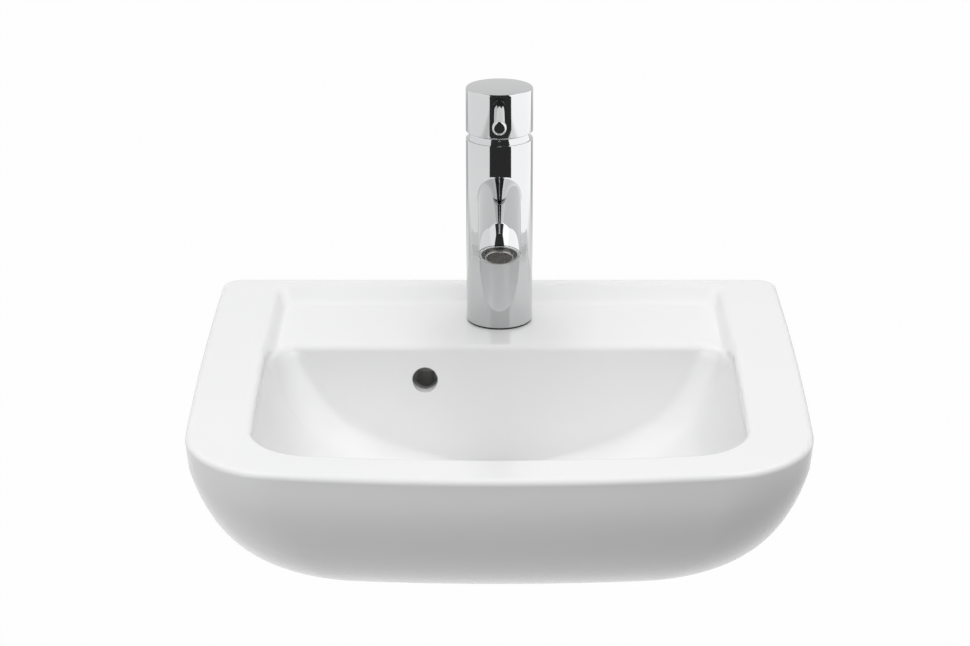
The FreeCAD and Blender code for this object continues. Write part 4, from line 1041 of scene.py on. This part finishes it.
@dataclass
class Mixer:
    """The single-lever mixer: body, spout, dome, cap and lever, all turned or swept.

    Heights count from the mixer's foot on the ledge, and lengths along the spout from the body's axis.
    """

    body_edge: float = 0.5
    seat_height: float = 84.0
    shelf: float = 124.0
    cartridge_bore: float = 17.8
    nut_bore: float = 20.0
    inlet_offset: float = 8.0
    inlet_forward: float = 4.0
    inlet: float = 4.6
    inlet_depth: float = 14.0
    stud_back: float = 9.0
    stud_hole: float = 4.1
    drill_overrun: float = 1.0
    spout_height: float = 101.4
    spout_slope: float = math.radians(14.0)
    spout_straight: float = 75.3
    spout_bend: float = 23.4
    outlet_slope: float = math.radians(45.0)
    outlet_straight: float = 1.0
    spout_root: float = 14.85
    spout_tip: float = 14.1
    spout_bore: float = 10.0
    spout_fillet: float = 0.8
    fillet_rows: int = 6
    straight_rows: int = 13
    bend_rows: int = 17
    lip: float = 12.9
    lip_depth: float = 2.4
    lip_edge: float = 0.3
    thread_bore: float = 12.1
    thread_depth: float = 11.0
    pivot: float = 128.0
    dome: float = 22.2
    dome_wall: float = 1.6
    dome_opening: float = 11.0
    dome_gap: float = 0.4
    dome_rows: int = 24
    cap_edge: float = 1.2
    cap_lip: float = 0.5
    cap_top: float = 4.0
    cap_inner_edge: float = 1.0
    cap_arc_steps: int = 8
    hub: float = 9.0
    hub_height: float = 14.0
    hub_edge: float = 0.3
    socket_half: float = 3.85
    screw_way: float = 3.0
    cap_overrun: float = 2.0
    lever_drop: float = 7.0
    lever_root: float = 3.5
    lever_root_edge: float = 0.3
    lever_segments: int = 96
    lever_arc_steps: int = 12
    spigot: float = 2.5
    spigot_edge: float = 0.4
    dimple: float = 5.5
    dimple_depth: float = 0.9
    knob_length: float = 5.0
    knob_neck: float = 2.5
    neck_edge: float = 3.0
    knob_shoulder: float = 2.0
    knob_round: float = 1.6

    def __post_init__(self) -> None:
        """Take the mixer's place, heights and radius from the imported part."""
        body, cap = NodeBox.of("tap_body"), NodeBox.of("handle_cap")
        self.foot = NodeBox.of("base_gasket").low[2]
        self.radius, self.forward = body.radius, body.forward
        self.axis = upright(self.forward, self.foot)
        self.low, self.top = body.low[2] - self.foot, body.high[2] - self.foot
        self.cap_low, self.cap_high = cap.low[2] - self.foot, cap.high[2] - self.foot
        self.lever_level = self.cap_high - self.lever_drop

    def build(self) -> None:
        """Make every piece of the mixer."""
        self.build_body()
        self.build_spout()
        Jet(self).build()
        self.build_dome()
        self.build_cap()
        self.build_lever()

    def build_body(self) -> None:
        """Turn the body with the cartridge room, and drill its stud hole and inlets."""
        profile = rounded([
            (0.0, self.low, 0.0), (self.radius, self.low, self.body_edge),
            (self.radius, self.top, self.body_edge), (self.nut_bore, self.top, self.body_edge / 2.0),
            (self.nut_bore, self.shelf, 0.0), (self.cartridge_bore, self.shelf, 0.0),
            (self.cartridge_bore, self.seat_height, 0.0), (0.0, self.seat_height, 0.0)])
        body = make_piece("mixer_body", lathe(profile, self.axis, BODY_SEGMENTS))
        holes = [(self.stud_hole, 0.0, -self.stud_back)]
        holes += [(self.inlet, way * self.inlet_offset, self.inlet_forward) for way in BOTH_WAYS]
        levels = (self.low - self.drill_overrun, self.low + self.inlet_depth)
        tools = [rod(radius, *levels, upright(self.forward + ahead, self.foot, x))
                 for radius, x, ahead in holes]
        combine(body, make_piece("body_drill", *tools), Cut.AWAY)
        seat(body, "root", "tap_chrome", "tap_body")

    def spout_line(self, share: np.ndarray) -> tuple[np.ndarray, np.ndarray]:
        """Trace the spout's bend, an arc, as places forward and up and as slopes.

        Args:
            share: 0 at the start of the bend and 1 at its end.

        Returns:
            The points and the slopes there.
        """
        slope = self.spout_slope + share * (self.outlet_slope - self.spout_slope)
        start = np.array((math.cos(self.spout_slope), -math.sin(self.spout_slope))) * self.spout_straight
        start = start + np.array((0.0, self.spout_height))
        middle = start - self.spout_bend * np.array((math.sin(self.spout_slope), math.cos(self.spout_slope)))
        points = middle + self.spout_bend * np.stack([np.sin(slope), np.cos(slope)], axis=-1)
        return points, slope

    def outlet(self) -> Axis:
        """Find the outlet.

        Returns:
            The line through its middle, along the jet.
        """
        points, slope = self.spout_line(np.array([1.0]))
        jet = math.cos(slope[0]) * FRONT - math.sin(slope[0]) * UP
        bend_end = self.axis.base + points[0, 0] * FRONT + points[0, 1] * UP
        return Axis(bend_end + self.outlet_straight * jet, jet, RIGHT)

    def spout_rings(self, radius: np.ndarray, forward: np.ndarray, rise: np.ndarray,
                    slope: np.ndarray | float, angle: np.ndarray) -> np.ndarray:
        """Place rings square to the spout's line: x = r cos a, and r sin a across the slope.

        Args:
            radius: the rings' radii.
            forward: how far in front of the body's axis their middles are.
            rise: how high their middles are.
            slope: the line's slopes there.
            angle: the columns' angles.

        Returns:
            The grid, rows along the spout.
        """
        x = radius * np.cos(angle)
        y = forward + radius * np.sin(angle) * np.sin(slope)
        z = rise + radius * np.sin(angle) * np.cos(slope)
        return self.axis.base + x[..., None] * RIGHT + y[..., None] * FRONT + z[..., None] * UP

    def spout_run(self, root: np.ndarray, tip: float, lift: np.ndarray, angle: np.ndarray) -> np.ndarray:
        """Sweep the straight stretch and the bend, from the body's round side to the outlet's neck.

        The first ring lies on the body: it starts where r cos a and the distance forward meet its radius.

        Args:
            root: ring radii at the root, which end in the tube's own.
            tip: the radius at the bend's end.
            lift: how far each root ring stands off the body.
            angle: the columns' angles.

        Returns:
            The grid, rows along the spout.
        """
        slope = self.spout_slope
        radius = root[:, None]
        start = (np.sqrt(self.radius ** 2 - (radius * np.cos(angle)) ** 2)
                 - radius * np.sin(angle) * math.sin(slope)) / math.cos(slope) + lift[:, None]
        share = np.linspace(0.0, 1.0, self.straight_rows + 1)[1:, None]
        bend_share = np.linspace(0.0, 1.0, self.bend_rows + 1)[1:]
        path_length = self.spout_straight + self.spout_bend * (self.outlet_slope - slope)
        taper = (tip - root[-1]) / path_length
        run = start[-1] + share * (self.spout_straight - start[-1])
        along = np.vstack([start, run])
        radii = np.vstack([np.broadcast_to(radius, start.shape), root[-1] + taper * run])
        straight = self.spout_rings(radii, along * math.cos(slope),
                                    self.spout_height - along * math.sin(slope), slope, angle)
        points, slopes = self.spout_line(bend_share)
        bend_run = self.spout_straight + self.spout_bend * (slopes - slope)
        bend = self.spout_rings((root[-1] + taper * bend_run)[:, None], points[:, :1], points[:, 1:],
                                slopes[:, None], angle)
        return np.concatenate([straight, bend])

    def build_spout(self) -> None:
        """Sweep the spout's outside, roll over its lip and come back through its bore."""
        angle = full_turn(SPOUT_SEGMENTS)
        turn = np.linspace(0.0, QUARTER_TURN, self.fillet_rows)
        flare = self.spout_root + self.spout_fillet * (1.0 - np.sin(turn))
        outside = self.spout_run(flare, self.spout_tip, self.spout_fillet * (1.0 - np.cos(turn)), angle)
        inside = self.spout_run(np.array([self.spout_bore]), self.spout_bore, np.array([0.0]), angle)
        end = self.outlet()
        profile = rounded([
            (self.spout_tip, -self.outlet_straight / 2.0, 0.0), (self.spout_tip, 0.0, self.lip_edge),
            (self.lip, 0.0, self.lip_edge), (self.lip, -self.lip_depth, 0.0),
            (self.thread_bore, -self.lip_depth, 0.0), (self.thread_bore, -self.thread_depth, 0.0),
            (self.spout_bore, -self.thread_depth, 0.0)])
        inwards = Axis(end.base, -end.along, RIGHT)
        mouth = inwards.turn(profile[:, :1], -profile[:, 1:], angle)
        bend_length = self.spout_bend * (self.outlet_slope - self.spout_slope)
        kept = int((1.0 - self.thread_depth / bend_length) * self.bend_rows)
        inside = inside[:len(inside) - self.bend_rows + max(kept, 0)]
        grid = np.concatenate([outside, mouth, inside[::-1]])
        spout = make_piece("mixer_spout", Surface(grid, rows_closed=True))
        seat(spout, "root", "tap_chrome", "spout")

    def build_dome(self) -> None:
        """Turn the dome under the cap: a ball zone about the lever's pivot, open at the top."""
        inner = self.dome - self.dome_wall
        start = math.asin((self.top - self.pivot) / self.dome)
        end = math.acos(self.dome_opening / self.dome)
        turn = np.linspace(start, end, self.dome_rows)
        out = np.stack([self.dome * np.cos(turn), self.pivot + self.dome * np.sin(turn)], axis=1)
        back = np.stack([inner * np.cos(turn[::-1]), self.pivot + inner * np.sin(turn[::-1])], axis=1)
        back[-1, 1] = self.top
        dome = make_piece("mixer_dome", lathe(np.vstack([out, back]), self.axis, BODY_SEGMENTS, closed=True))
        seat(dome, "root", "tap_chrome", "cover_ring")

    def build_cap(self) -> None:
        """Turn the handle's cap, hollow with a hub, and cut the lever's dimple and the screw's way."""
        skirt = math.sqrt((self.dome + self.dome_gap) ** 2 - (self.cap_low - self.pivot) ** 2)
        socket = self.socket_half * math.sqrt(2.0)
        ceiling = self.cap_high - self.cap_top
        hub_low = ceiling - self.hub_height
        profile = rounded([
            (0.0, self.cap_high, 0.0), (self.radius, self.cap_high, self.cap_edge),
            (self.radius, self.cap_low, self.cap_lip), (skirt, self.cap_low, self.cap_lip / 2.0),
            (skirt, ceiling, self.cap_inner_edge), (self.hub, ceiling, self.cap_inner_edge),
            (self.hub, hub_low, self.hub_edge), (socket, hub_low, 0.0), (socket, ceiling, 0.0),
            (0.0, ceiling, 0.0)], self.cap_arc_steps)
        cap = make_piece("mixer_cap", lathe(profile, self.axis, BODY_SEGMENTS))
        level = self.axis.base + self.lever_level * UP
        outside = self.radius + self.cap_overrun
        dimple = rod(self.dimple, self.radius - self.dimple_depth, outside, Axis(level, FRONT, RIGHT))
        screw_way = rod(self.screw_way, self.hub, outside, Axis(level, -FRONT, RIGHT))
        combine(cap, make_piece("cap_drill", dimple, screw_way), Cut.AWAY)
        seat(cap, "handle", "tap_chrome", "handle_cap")

    def build_lever(self) -> None:
        """Turn the pin lever, which swells to a short flat-ended knob."""
        pin = NodeBox.of("lever_pin")
        line = Axis(self.axis.base + self.lever_level * UP, FRONT, RIGHT)
        root = self.radius - self.dimple_depth
        inner, tip = (self.axis.base[1] - corner[1] for corner in (pin.high, pin.low))
        shoulder = tip - self.knob_length
        profile = rounded([
            (0.0, inner, 0.0), (self.spigot, inner, self.spigot_edge), (self.spigot, root, 0.0),
            (self.lever_root, root, self.lever_root_edge),
            (self.lever_root, shoulder - self.knob_neck, self.neck_edge),
            (pin.radius, shoulder, self.knob_shoulder), (pin.radius, tip, self.knob_round),
            (0.0, tip, 0.0)], self.lever_arc_steps)
        lever = make_piece("mixer_lever", lathe(profile, line, self.lever_segments))
        seat(lever, "handle", "tap_chrome", "lever_pin")


@dataclass
class Jet:
    """The aerator in the spout's end: a shell, and an insert with a honeycomb of jets.

    Heights count along the jet from the spout's end.
    """

    mixer: Mixer
    face: float = -0.5
    shelf: float = -4.0
    rear: float = -8.4
    edge: float = 0.6
    gap: float = 0.1
    mouth_edge: float = 0.15
    shell_edge: float = 0.3
    shell_arc_steps: int = 3
    insert_edge: float = 0.2
    insert_arc_steps: int = 4
    proud: float = 1.6
    ring: float = 0.35
    cell: float = 1.9
    hole: float = 0.66
    hole_slope: float = 0.24
    hole_depth: float = 0.9
    border: float = 0.5
    border_slope: float = 0.2
    rows: int = 78
    columns: int = 300

    def __post_init__(self) -> None:
        """Take the outlet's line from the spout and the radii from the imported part."""
        self.line = self.mixer.outlet()
        self.shell, self.insert = (NodeBox.of(node).radius for node in ("aerator_shell", "aerator_insert"))
        self.inner_rear = self.rear + self.edge

    def build(self) -> None:
        """Make both pieces of the jet."""
        self.build_shell()
        self.build_insert()

    def build_shell(self) -> None:
        """Turn the shell that screws into the spout's end."""
        room = self.insert + self.gap
        bore = self.mixer.spout_bore - self.edge - self.gap
        profile = rounded([
            (room, self.shelf, 0.0), (room, self.face, self.mouth_edge),
            (self.shell, self.face, self.shell_edge), (self.shell, self.rear, self.shell_edge),
            (bore, self.rear, 0.0), (bore, self.inner_rear, 0.0), (room, self.inner_rear, 0.0),
            (room, self.shelf, 0.0)], self.shell_arc_steps)[:-1]
        shell = make_piece("jet_shell", lathe(profile, self.line, JET_SEGMENTS, closed=True))
        # The shell's dark finish is partly painted shade for the shaded ring round the outlet.
        seat(shell, "root", "aerator_plastic", "aerator_shell")

    def sunk(self, radii: np.ndarray, angle: np.ndarray, rim: float) -> np.ndarray:
        """Sink the jets: a hole at each point of two lattices, half a cell apart, that make a honeycomb.

        Args:
            radii: the rows' radii.
            angle: the columns' angles.
            rim: the radius of the insert's face.

        Returns:
            The depths, rows by columns.
        """
        x, y = radii[:, None] * np.cos(angle), radii[:, None] * np.sin(angle)
        pair = self.cell * math.sqrt(3.0)
        away = []
        for shift in (0.0, 0.5):
            cell_x, cell_y = x / self.cell + shift, y / pair + shift
            away.append(np.hypot((cell_x - np.round(cell_x)) * self.cell, (cell_y - np.round(cell_y)) * pair))
        in_hole = smooth((self.hole + self.hole_slope / 2.0 - np.minimum(*away)) / self.hole_slope)
        return self.hole_depth * in_hole * smooth((rim - self.border - radii) / self.border_slope)[:, None]

    def build_insert(self) -> None:
        """Turn the insert, with its jets and a thin metal ring round its face."""
        rim = self.insert - self.ring
        radii = np.linspace(0.0, rim, self.rows)
        angle = full_turn(self.columns)
        front = self.line.turn(radii[:, None], self.proud - self.sunk(radii, angle, rim), angle)
        side = rounded([
            (rim, self.proud, 0.0), (self.insert, self.proud, self.ring / 2.0),
            (self.insert, self.inner_rear, self.insert_edge), (0.0, self.inner_rear, 0.0)],
            self.insert_arc_steps)[1:]
        skirt = self.line.turn(side[:, :1], side[:, 1:], angle)
        insert = make_piece("jet_insert", Surface(np.concatenate([front, skirt])))
        dress(insert, JET_MESH, STEEL)
        ring_out(insert, self.line, rim)
        seat(insert, "root", "aerator_plastic", "aerator_insert")


@dataclass
class Waste:
    """The waste in the bowl's well: flanged tail with its thread and bridge, back nut and plug."""

    bore: float = 18.0
    barrel: float = 20.1
    pitch: float = 2.309
    thread_depth: float = 0.75
    thread_step: float = 0.45
    tail_segments: int = 96
    nut_gap: float = 0.2
    bore_edge: float = 0.4
    tail_edge: float = 0.5
    neck_edge: float = 0.3
    flange_foot_edge: float = 0.4
    flange_edge: float = 0.9
    mouth_edge: float = 0.6
    bridge_drop: float = 22.0
    bridge_height: float = 5.0
    bridge_half: float = 4.0
    eye: float = 8.0
    guide_hole: float = 6.1
    guide_overrun: float = 1.0
    window_half: float = 8.0
    window_drops: tuple[float, float] = (16.0, 8.0)
    plug_hub: float = 7.0
    plug_thread: float = 2.5
    plug_hub_edge: float = 0.4
    plug_under_edge: float = 0.5
    plug_rim_height: float = 2.2
    plug_rim_edge: float = 1.1
    plug_shoulder: float = 1.2
    plug_crown: float = 2.3
    plug_rows: int = 20
    plug_segments: int = 160

    def __post_init__(self) -> None:
        """Take the waste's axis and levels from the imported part."""
        self.box = NodeBox.of("waste_body")
        seal = NodeBox.of("waste_flange_seal")
        self.floor, self.seat = seal.low[2], seal.high[2]
        self.axis = upright(self.box.forward)

    def build(self) -> None:
        """Make the pieces of the waste that show."""
        self.build_tail()
        self.build_plug()
        shape = hex_nut(NodeBox.of("waste_backnut"), self.barrel + self.nut_gap, self.axis)
        nut = make_piece("waste_nut", shape)
        seat(nut, "root", "brass", "waste_backnut")

    def across(self, half_x: float, half_y: float, levels: tuple[float, float]) -> Surface:
        """Make a box across the waste's axis between two levels, as a tool."""
        half = np.array((half_x, half_y, 0.0))
        return slab(*(self.axis.base + way * half + level * UP for way, level in zip(BOTH_WAYS, levels)))

    def build_tail(self) -> None:
        """Turn the flanged tail with its thread, join the guide's bridge and cut the overflow windows."""
        tail_end = mount_sizes("waste_tail")
        radius, length = tail_end["r_mm"], tail_end["length_mm"]
        low, high, flange = self.box.low[2], self.box.high[2], self.box.high[0]
        middle = (low + high) / 2.0
        profile = rounded([
            (self.bore, middle, 0.0), (self.bore, low, self.bore_edge), (radius, low, self.tail_edge),
            (radius, low + length, 0.0), (self.barrel, low + length, 0.0),
            (self.barrel, self.seat, self.neck_edge), (flange, self.seat, self.flange_foot_edge),
            (flange, high, self.flange_edge), (self.bore, high, self.mouth_edge), (self.bore, middle, 0.0)])
        thread = Thread(low, low + length, self.pitch, self.thread_depth)
        loop = refined(profile, self.thread_step)[:-1]
        tail = make_piece("waste_tail", lathe(loop, self.axis, self.tail_segments, True, thread))
        top = self.floor - self.bridge_drop
        levels = (top - self.bridge_height, top)
        bridge = self.across((self.bore + self.barrel) / 2.0, self.bridge_half, levels)
        combine(tail, make_piece("bridge", bridge), Cut.JOIN)
        combine(tail, make_piece("eye", rod(self.eye, *levels, self.axis)), Cut.JOIN)
        window_levels = tuple(self.floor - drop for drop in self.window_drops)
        windows = self.across(2.0 * radius, self.window_half, window_levels)
        past = self.guide_overrun
        hole = rod(self.guide_hole, levels[0] - past, levels[1] + past, self.axis)
        combine(tail, make_piece("tail_cuts", windows, hole), Cut.AWAY)
        seat(tail, "root", "tap_chrome", "waste_body")

    def build_plug(self) -> None:
        """Turn the plug's cap: a parabola's shallow dome, a rolled edge, a flat underside and a hub."""
        box = NodeBox.of("plug_cap")
        low, high, radius = box.low[2], box.high[2], box.radius
        under = NodeBox.of("plug_seal").high[2]
        hub, thread, under_edge = self.plug_hub, self.plug_thread, self.plug_under_edge
        share = np.linspace(1.0, 0.0, self.plug_rows)[1:]
        crown = np.stack([(radius - self.plug_shoulder) * share, high - self.plug_crown * share ** 2], axis=1)
        rim = rounded([
            (thread, low, 0.0), (hub, low, self.plug_hub_edge), (hub, under, under_edge),
            (radius, under, under_edge), (radius, under + self.plug_rim_height, self.plug_rim_edge),
            (crown[0, 0], high - self.plug_crown, 0.0)])
        profile = np.vstack([(0.0, under), (thread, under), rim, crown])
        plug = make_piece("plug_dome", lathe(profile, self.axis, self.plug_segments))
        seat(plug, "plug", "tap_chrome", "plug_cap")


@dataclass
class Fittings:
    """The mixer's stud and nut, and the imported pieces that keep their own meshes."""

    stud_edge: float = 0.6
    stud_pitch: float = 1.25
    stud_thread: float = 0.5
    stud_step: float = 0.3
    stud_segments: int = 48
    nut_gap: float = 0.1

    def build(self) -> None:
        """Make the stud with its nut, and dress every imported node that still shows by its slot."""
        self.build_stud()
        slots = {part["node"]: part["material_slot"] for part in frame["record"]["subparts"]}
        for name, node in frame["nodes"].items():
            if node.hide_render:
                continue
            dress(node, SLOT_FINISH[slots[name]])
            LOG.info("%s keeps its mesh", name)

    def build_stud(self) -> None:
        """Turn the threaded stud that holds the mixer down, and make its nut."""
        box = NodeBox.of("mounting_stud")
        low, high, radius = box.low[2], box.high[2], box.radius
        axis = upright(box.forward)
        profile = rounded([
            (0.0, low, 0.0), (radius, low, self.stud_edge), (radius, high, self.stud_edge), (0.0, high, 0.0)])
        thread = Thread(low, high, self.stud_pitch, self.stud_thread)
        shape = lathe(refined(profile, self.stud_step), axis, self.stud_segments, thread=thread)
        stud = make_piece("tap_stud", shape)
        seat(stud, "root", "steel", "mounting_stud")
        nut = make_piece("tap_nut", hex_nut(NodeBox.of("stud_nut"), radius + self.nut_gap, axis))
        seat(nut, "root", "brass", "stud_nut")


BASIN_MIDDLE = Vector((0.0, -0.17, 0.02))


@dataclass(frozen=True)
class Lamp:
    """A square soft light that faces the basin, seen by neither the camera nor a mirror.

    Args:
        name: the light's name.
        place: where it hangs, in metres.
        side: its side in metres.
        power: its power in watts.
    """

    name: str
    place: tuple[float, float, float]
    side: float
    power: float

    def hang(self) -> None:
        """Add the light to the scene."""
        lamp = bpy.data.lights.new(self.name, "AREA")
        lamp.shape = "SQUARE"
        lamp.size = self.side
        lamp.energy = self.power
        light = bpy.data.objects.new(self.name, lamp)
        light.location = self.place
        direction = BASIN_MIDDLE - Vector(self.place)
        light.rotation_euler = direction.to_track_quat("-Z", "Y").to_euler()
        light.visible_camera = False
        light.visible_glossy = False
        bpy.context.scene.collection.objects.link(light)


LAMPS = (
    Lamp("overhead", (0.0, -0.4, 2.4), 2.6, 48.6),
    Lamp("front", (0.0, -2.2, 1.5), 1.8, 7.8),
    Lamp("left", (-2.0, -0.9, -0.2), 1.2, 9.0),
)
WHITE = (1.0, 1.0, 1.0, 1.0)


@dataclass
class Studio:
    """The room round the object, in metres: pale floor, white sky, soft lamps, mirror cards and camera.

    The cards give the chrome its light and dark zones: a box with a wall and a roof on each side, a wall
    behind, and a dark gap, a strip from the front over the top whose half widths are angles in degrees.
    Turns are degrees up from the front, and glows are brightness, 1 for white.
    """

    focal_px: float = 2200.0
    photo_width_px: int = 970
    middle_px: float = 499.4
    pitch: float = math.radians(21.1)
    camera_y: float = -1.506
    camera_z: float = 0.607
    camera_clip: tuple[float, float] = (0.05, 60.0)
    sensor_mm: float = 36.0
    floor_level: float = -0.85
    floor_half: float = 9.0
    floor_grey: float = 0.45
    floor_white_share: float = 0.985
    sky_diffuse: float = 0.34
    sky_seen: float = 1.0
    left_glow: float = 1.15
    right_glow: float = 1.6
    roof_share: float = 1.13
    box_side: float = 1.7
    box_inner: float = 0.25
    box_levels: tuple[float, float] = (-0.84, 2.2)
    box_ends: tuple[float, float] = (-2.6, 1.7)
    back_glow: float = 0.87
    back_half: float = 4.0
    back_place: float = 2.5
    back_levels: tuple[float, float] = (-0.84, 4.5)
    dim_share: float = 0.72
    dim_levels: tuple[float, float] = (-0.60, -0.46)
    gap_glow: float = 0.04
    gap_middle: tuple[float, float, float] = (0.0, -0.1, 0.15)
    gap_radius: float = 1.6
    gap_turns: tuple[float, float, float] = (0.0, 70.0, 95.0)
    gap_left: tuple[float, float, float] = (33.0, 24.0, 14.0)
    gap_right: tuple[float, float, float] = (40.0, 24.0, 14.0)
    gap_ends: tuple[float, float] = (-24.0, 128.0)
    gap_rows: int = 40

    def build(self) -> None:
        """Set the colour transform and make the room."""
        bpy.context.scene.view_settings.view_transform = "Standard"
        self.place_camera()
        self.make_sky()
        self.make_floor()
        for lamp in LAMPS:
            lamp.hang()
        self.make_cards()

    def place_camera(self) -> None:
        """Stand the camera where the photograph was taken from."""
        lens = bpy.data.cameras.new("camera")
        lens.sensor_width = self.sensor_mm
        lens.lens = self.focal_px / self.photo_width_px * self.sensor_mm
        lens.shift_x = (self.photo_width_px / 2.0 - self.middle_px) / self.photo_width_px
        lens.clip_start, lens.clip_end = self.camera_clip
        camera = bpy.data.objects.new("camera", lens)
        camera.location = (0.0, self.camera_y, self.camera_z)
        camera.rotation_euler = (QUARTER_TURN - self.pitch, 0.0, 0.0)
        bpy.context.scene.collection.objects.link(camera)
        bpy.context.scene.camera = camera

    @staticmethod
    def seen_directly(tree: bpy.types.NodeTree) -> bpy.types.NodeSocket:
        """Add a switch that is 1 for camera, glossy and transmission rays and 0 for diffuse ones.

        Args:
            tree: the nodes that it joins.

        Returns:
            The switch's socket.
        """
        path = tree.nodes.new("ShaderNodeLightPath")
        total = path.outputs["Is Camera Ray"]
        for name in ("Is Glossy Ray", "Is Transmission Ray"):
            larger = tree.nodes.new("ShaderNodeMath")
            larger.operation = "MAXIMUM"
            tree.links.new(total, larger.inputs[0])
            tree.links.new(path.outputs[name], larger.inputs[1])
            total = larger.outputs[0]
        return total

    @staticmethod
    def bare_material(piece: bpy.types.Object, name: str) -> tuple[bpy.types.NodeTree, bpy.types.NodeSocket]:
        """Give a stage piece a material with nothing in it.

        Args:
            piece: the stage piece.
            name: the material's name.

        Returns:
            The material's nodes and the socket that its surface goes into.
        """
        material = bpy.data.materials.new(name)
        material.use_nodes = True
        material.node_tree.nodes.clear()
        piece.data.materials.append(material)
        out = material.node_tree.nodes.new("ShaderNodeOutputMaterial")
        return material.node_tree, out.inputs["Surface"]

    def make_sky(self) -> None:
        """Make the world: white where it is seen or mirrored, dimmer as a light."""
        world = bpy.data.worlds.new("studio")
        world.use_nodes = True
        bpy.context.scene.world = world
        tree = world.node_tree
        seen = tree.nodes["Background"]
        light = tree.nodes.new("ShaderNodeBackground")
        mix = tree.nodes.new("ShaderNodeMixShader")
        tree.links.new(self.seen_directly(tree), mix.inputs["Fac"])
        uses = ((light, self.sky_diffuse, mix.inputs[1]), (seen, self.sky_seen, mix.inputs[2]))
        for node, strength, socket in uses:
            node.inputs["Color"].default_value = WHITE
            node.inputs["Strength"].default_value = strength
            tree.links.new(node.outputs["Background"], socket)
        tree.links.new(mix.outputs["Shader"], tree.nodes["World Output"].inputs["Surface"])

    def make_floor(self) -> None:
        """Lay a pale floor well below the basin, which keeps a faint shadow and meets the white sky."""
        span = np.array(BOTH_WAYS) * self.floor_half / MM
        x, y = np.meshgrid(span, span)
        points = np.stack([x, y, np.full_like(x, self.floor_level / MM)], axis=-1)
        floor = make_piece("floor", Surface(points, columns_closed=False))
        tree, surface = self.bare_material(floor, "pale_floor")
        matt = tree.nodes.new("ShaderNodeBsdfDiffuse")
        matt.inputs["Color"].default_value = (self.floor_grey, self.floor_grey, self.floor_grey, 1.0)
        glow = tree.nodes.new("ShaderNodeEmission")
        share = tree.nodes.new("ShaderNodeMath")
        share.operation = "MULTIPLY"
        share.inputs[1].default_value = self.floor_white_share
        mix = tree.nodes.new("ShaderNodeMixShader")
        tree.links.new(self.seen_directly(tree), share.inputs[0])
        tree.links.new(share.outputs[0], mix.inputs["Fac"])
        tree.links.new(matt.outputs["BSDF"], mix.inputs[1])
        tree.links.new(glow.outputs["Emission"], mix.inputs[2])
        tree.links.new(mix.outputs["Shader"], surface)

    def make_cards(self) -> None:
        """Stand what only mirrors see: the wall behind, the two side boxes and the dark gap."""
        wall = [[(way * self.back_half, self.back_place, level) for way in BOTH_WAYS]
                for level in self.back_levels]
        self.mirror_card("back_wall", np.array(wall), self.back_glow)
        low, high = self.box_levels
        bend = ((self.box_side, low), (self.box_side, high), (self.box_inner, high))
        for name, way, glow in zip(("left_box", "right_box"), BOTH_WAYS, (self.left_glow, self.right_glow)):
            points = np.array([[(way * x, y, z) for y in self.box_ends] for x, z in bend])
            self.mirror_card(f"{name}_wall", points[:2], glow)
            self.mirror_card(f"{name}_roof", points[1:], self.roof_share * glow)
        degrees = np.linspace(*self.gap_ends, self.gap_rows)
        turn = np.radians(degrees)
        strip = []
        for way, angles in zip(BOTH_WAYS, (self.gap_left, self.gap_right)):
            side = way * np.tan(np.radians(np.interp(degrees, self.gap_turns, angles)))
            strip.append(self.gap_radius * np.stack([side, -np.cos(turn), np.sin(turn)], axis=-1))
        self.mirror_card("dark_gap", np.array(self.gap_middle) + np.stack(strip, axis=1), self.gap_glow)

    def mirror_card(self, name: str, points: np.ndarray, glow: float) -> None:
        """Stand a card that shows in mirrors alone, dimmer near the floor.

        Args:
            name: the card's name.
            points: its grid of points, in metres.
            glow: its brightness, 1 for white.
        """
        card = make_piece(name, Surface(points / MM, columns_closed=False))
        tree, surface = self.bare_material(card, name)
        light = tree.nodes.new("ShaderNodeEmission")
        place = tree.nodes.new("ShaderNodeTexCoord")
        split = tree.nodes.new("ShaderNodeSeparateXYZ")
        tree.links.new(place.outputs["Object"], split.inputs["Vector"])
        fade = map_range(tree, split.outputs["Z"], self.dim_levels, (self.dim_share * glow, glow))
        tree.links.new(fade, light.inputs["Strength"])
        tree.links.new(light.outputs["Emission"], surface)
        card.visible_camera = False
        card.visible_diffuse = False
        card.visible_shadow = False


def main() -> None:
    """Build the object's pieces in order, then the studio, logging each as it goes."""
    logging.basicConfig(level=logging.INFO, format="%(name)s: %(message)s")
    for part in (Basin(), Mixer(), Waste(), Fittings(), Studio()):
        LOG.info("building %s", type(part).__name__)
        part.build()


if __name__ == "__main__":
    main()
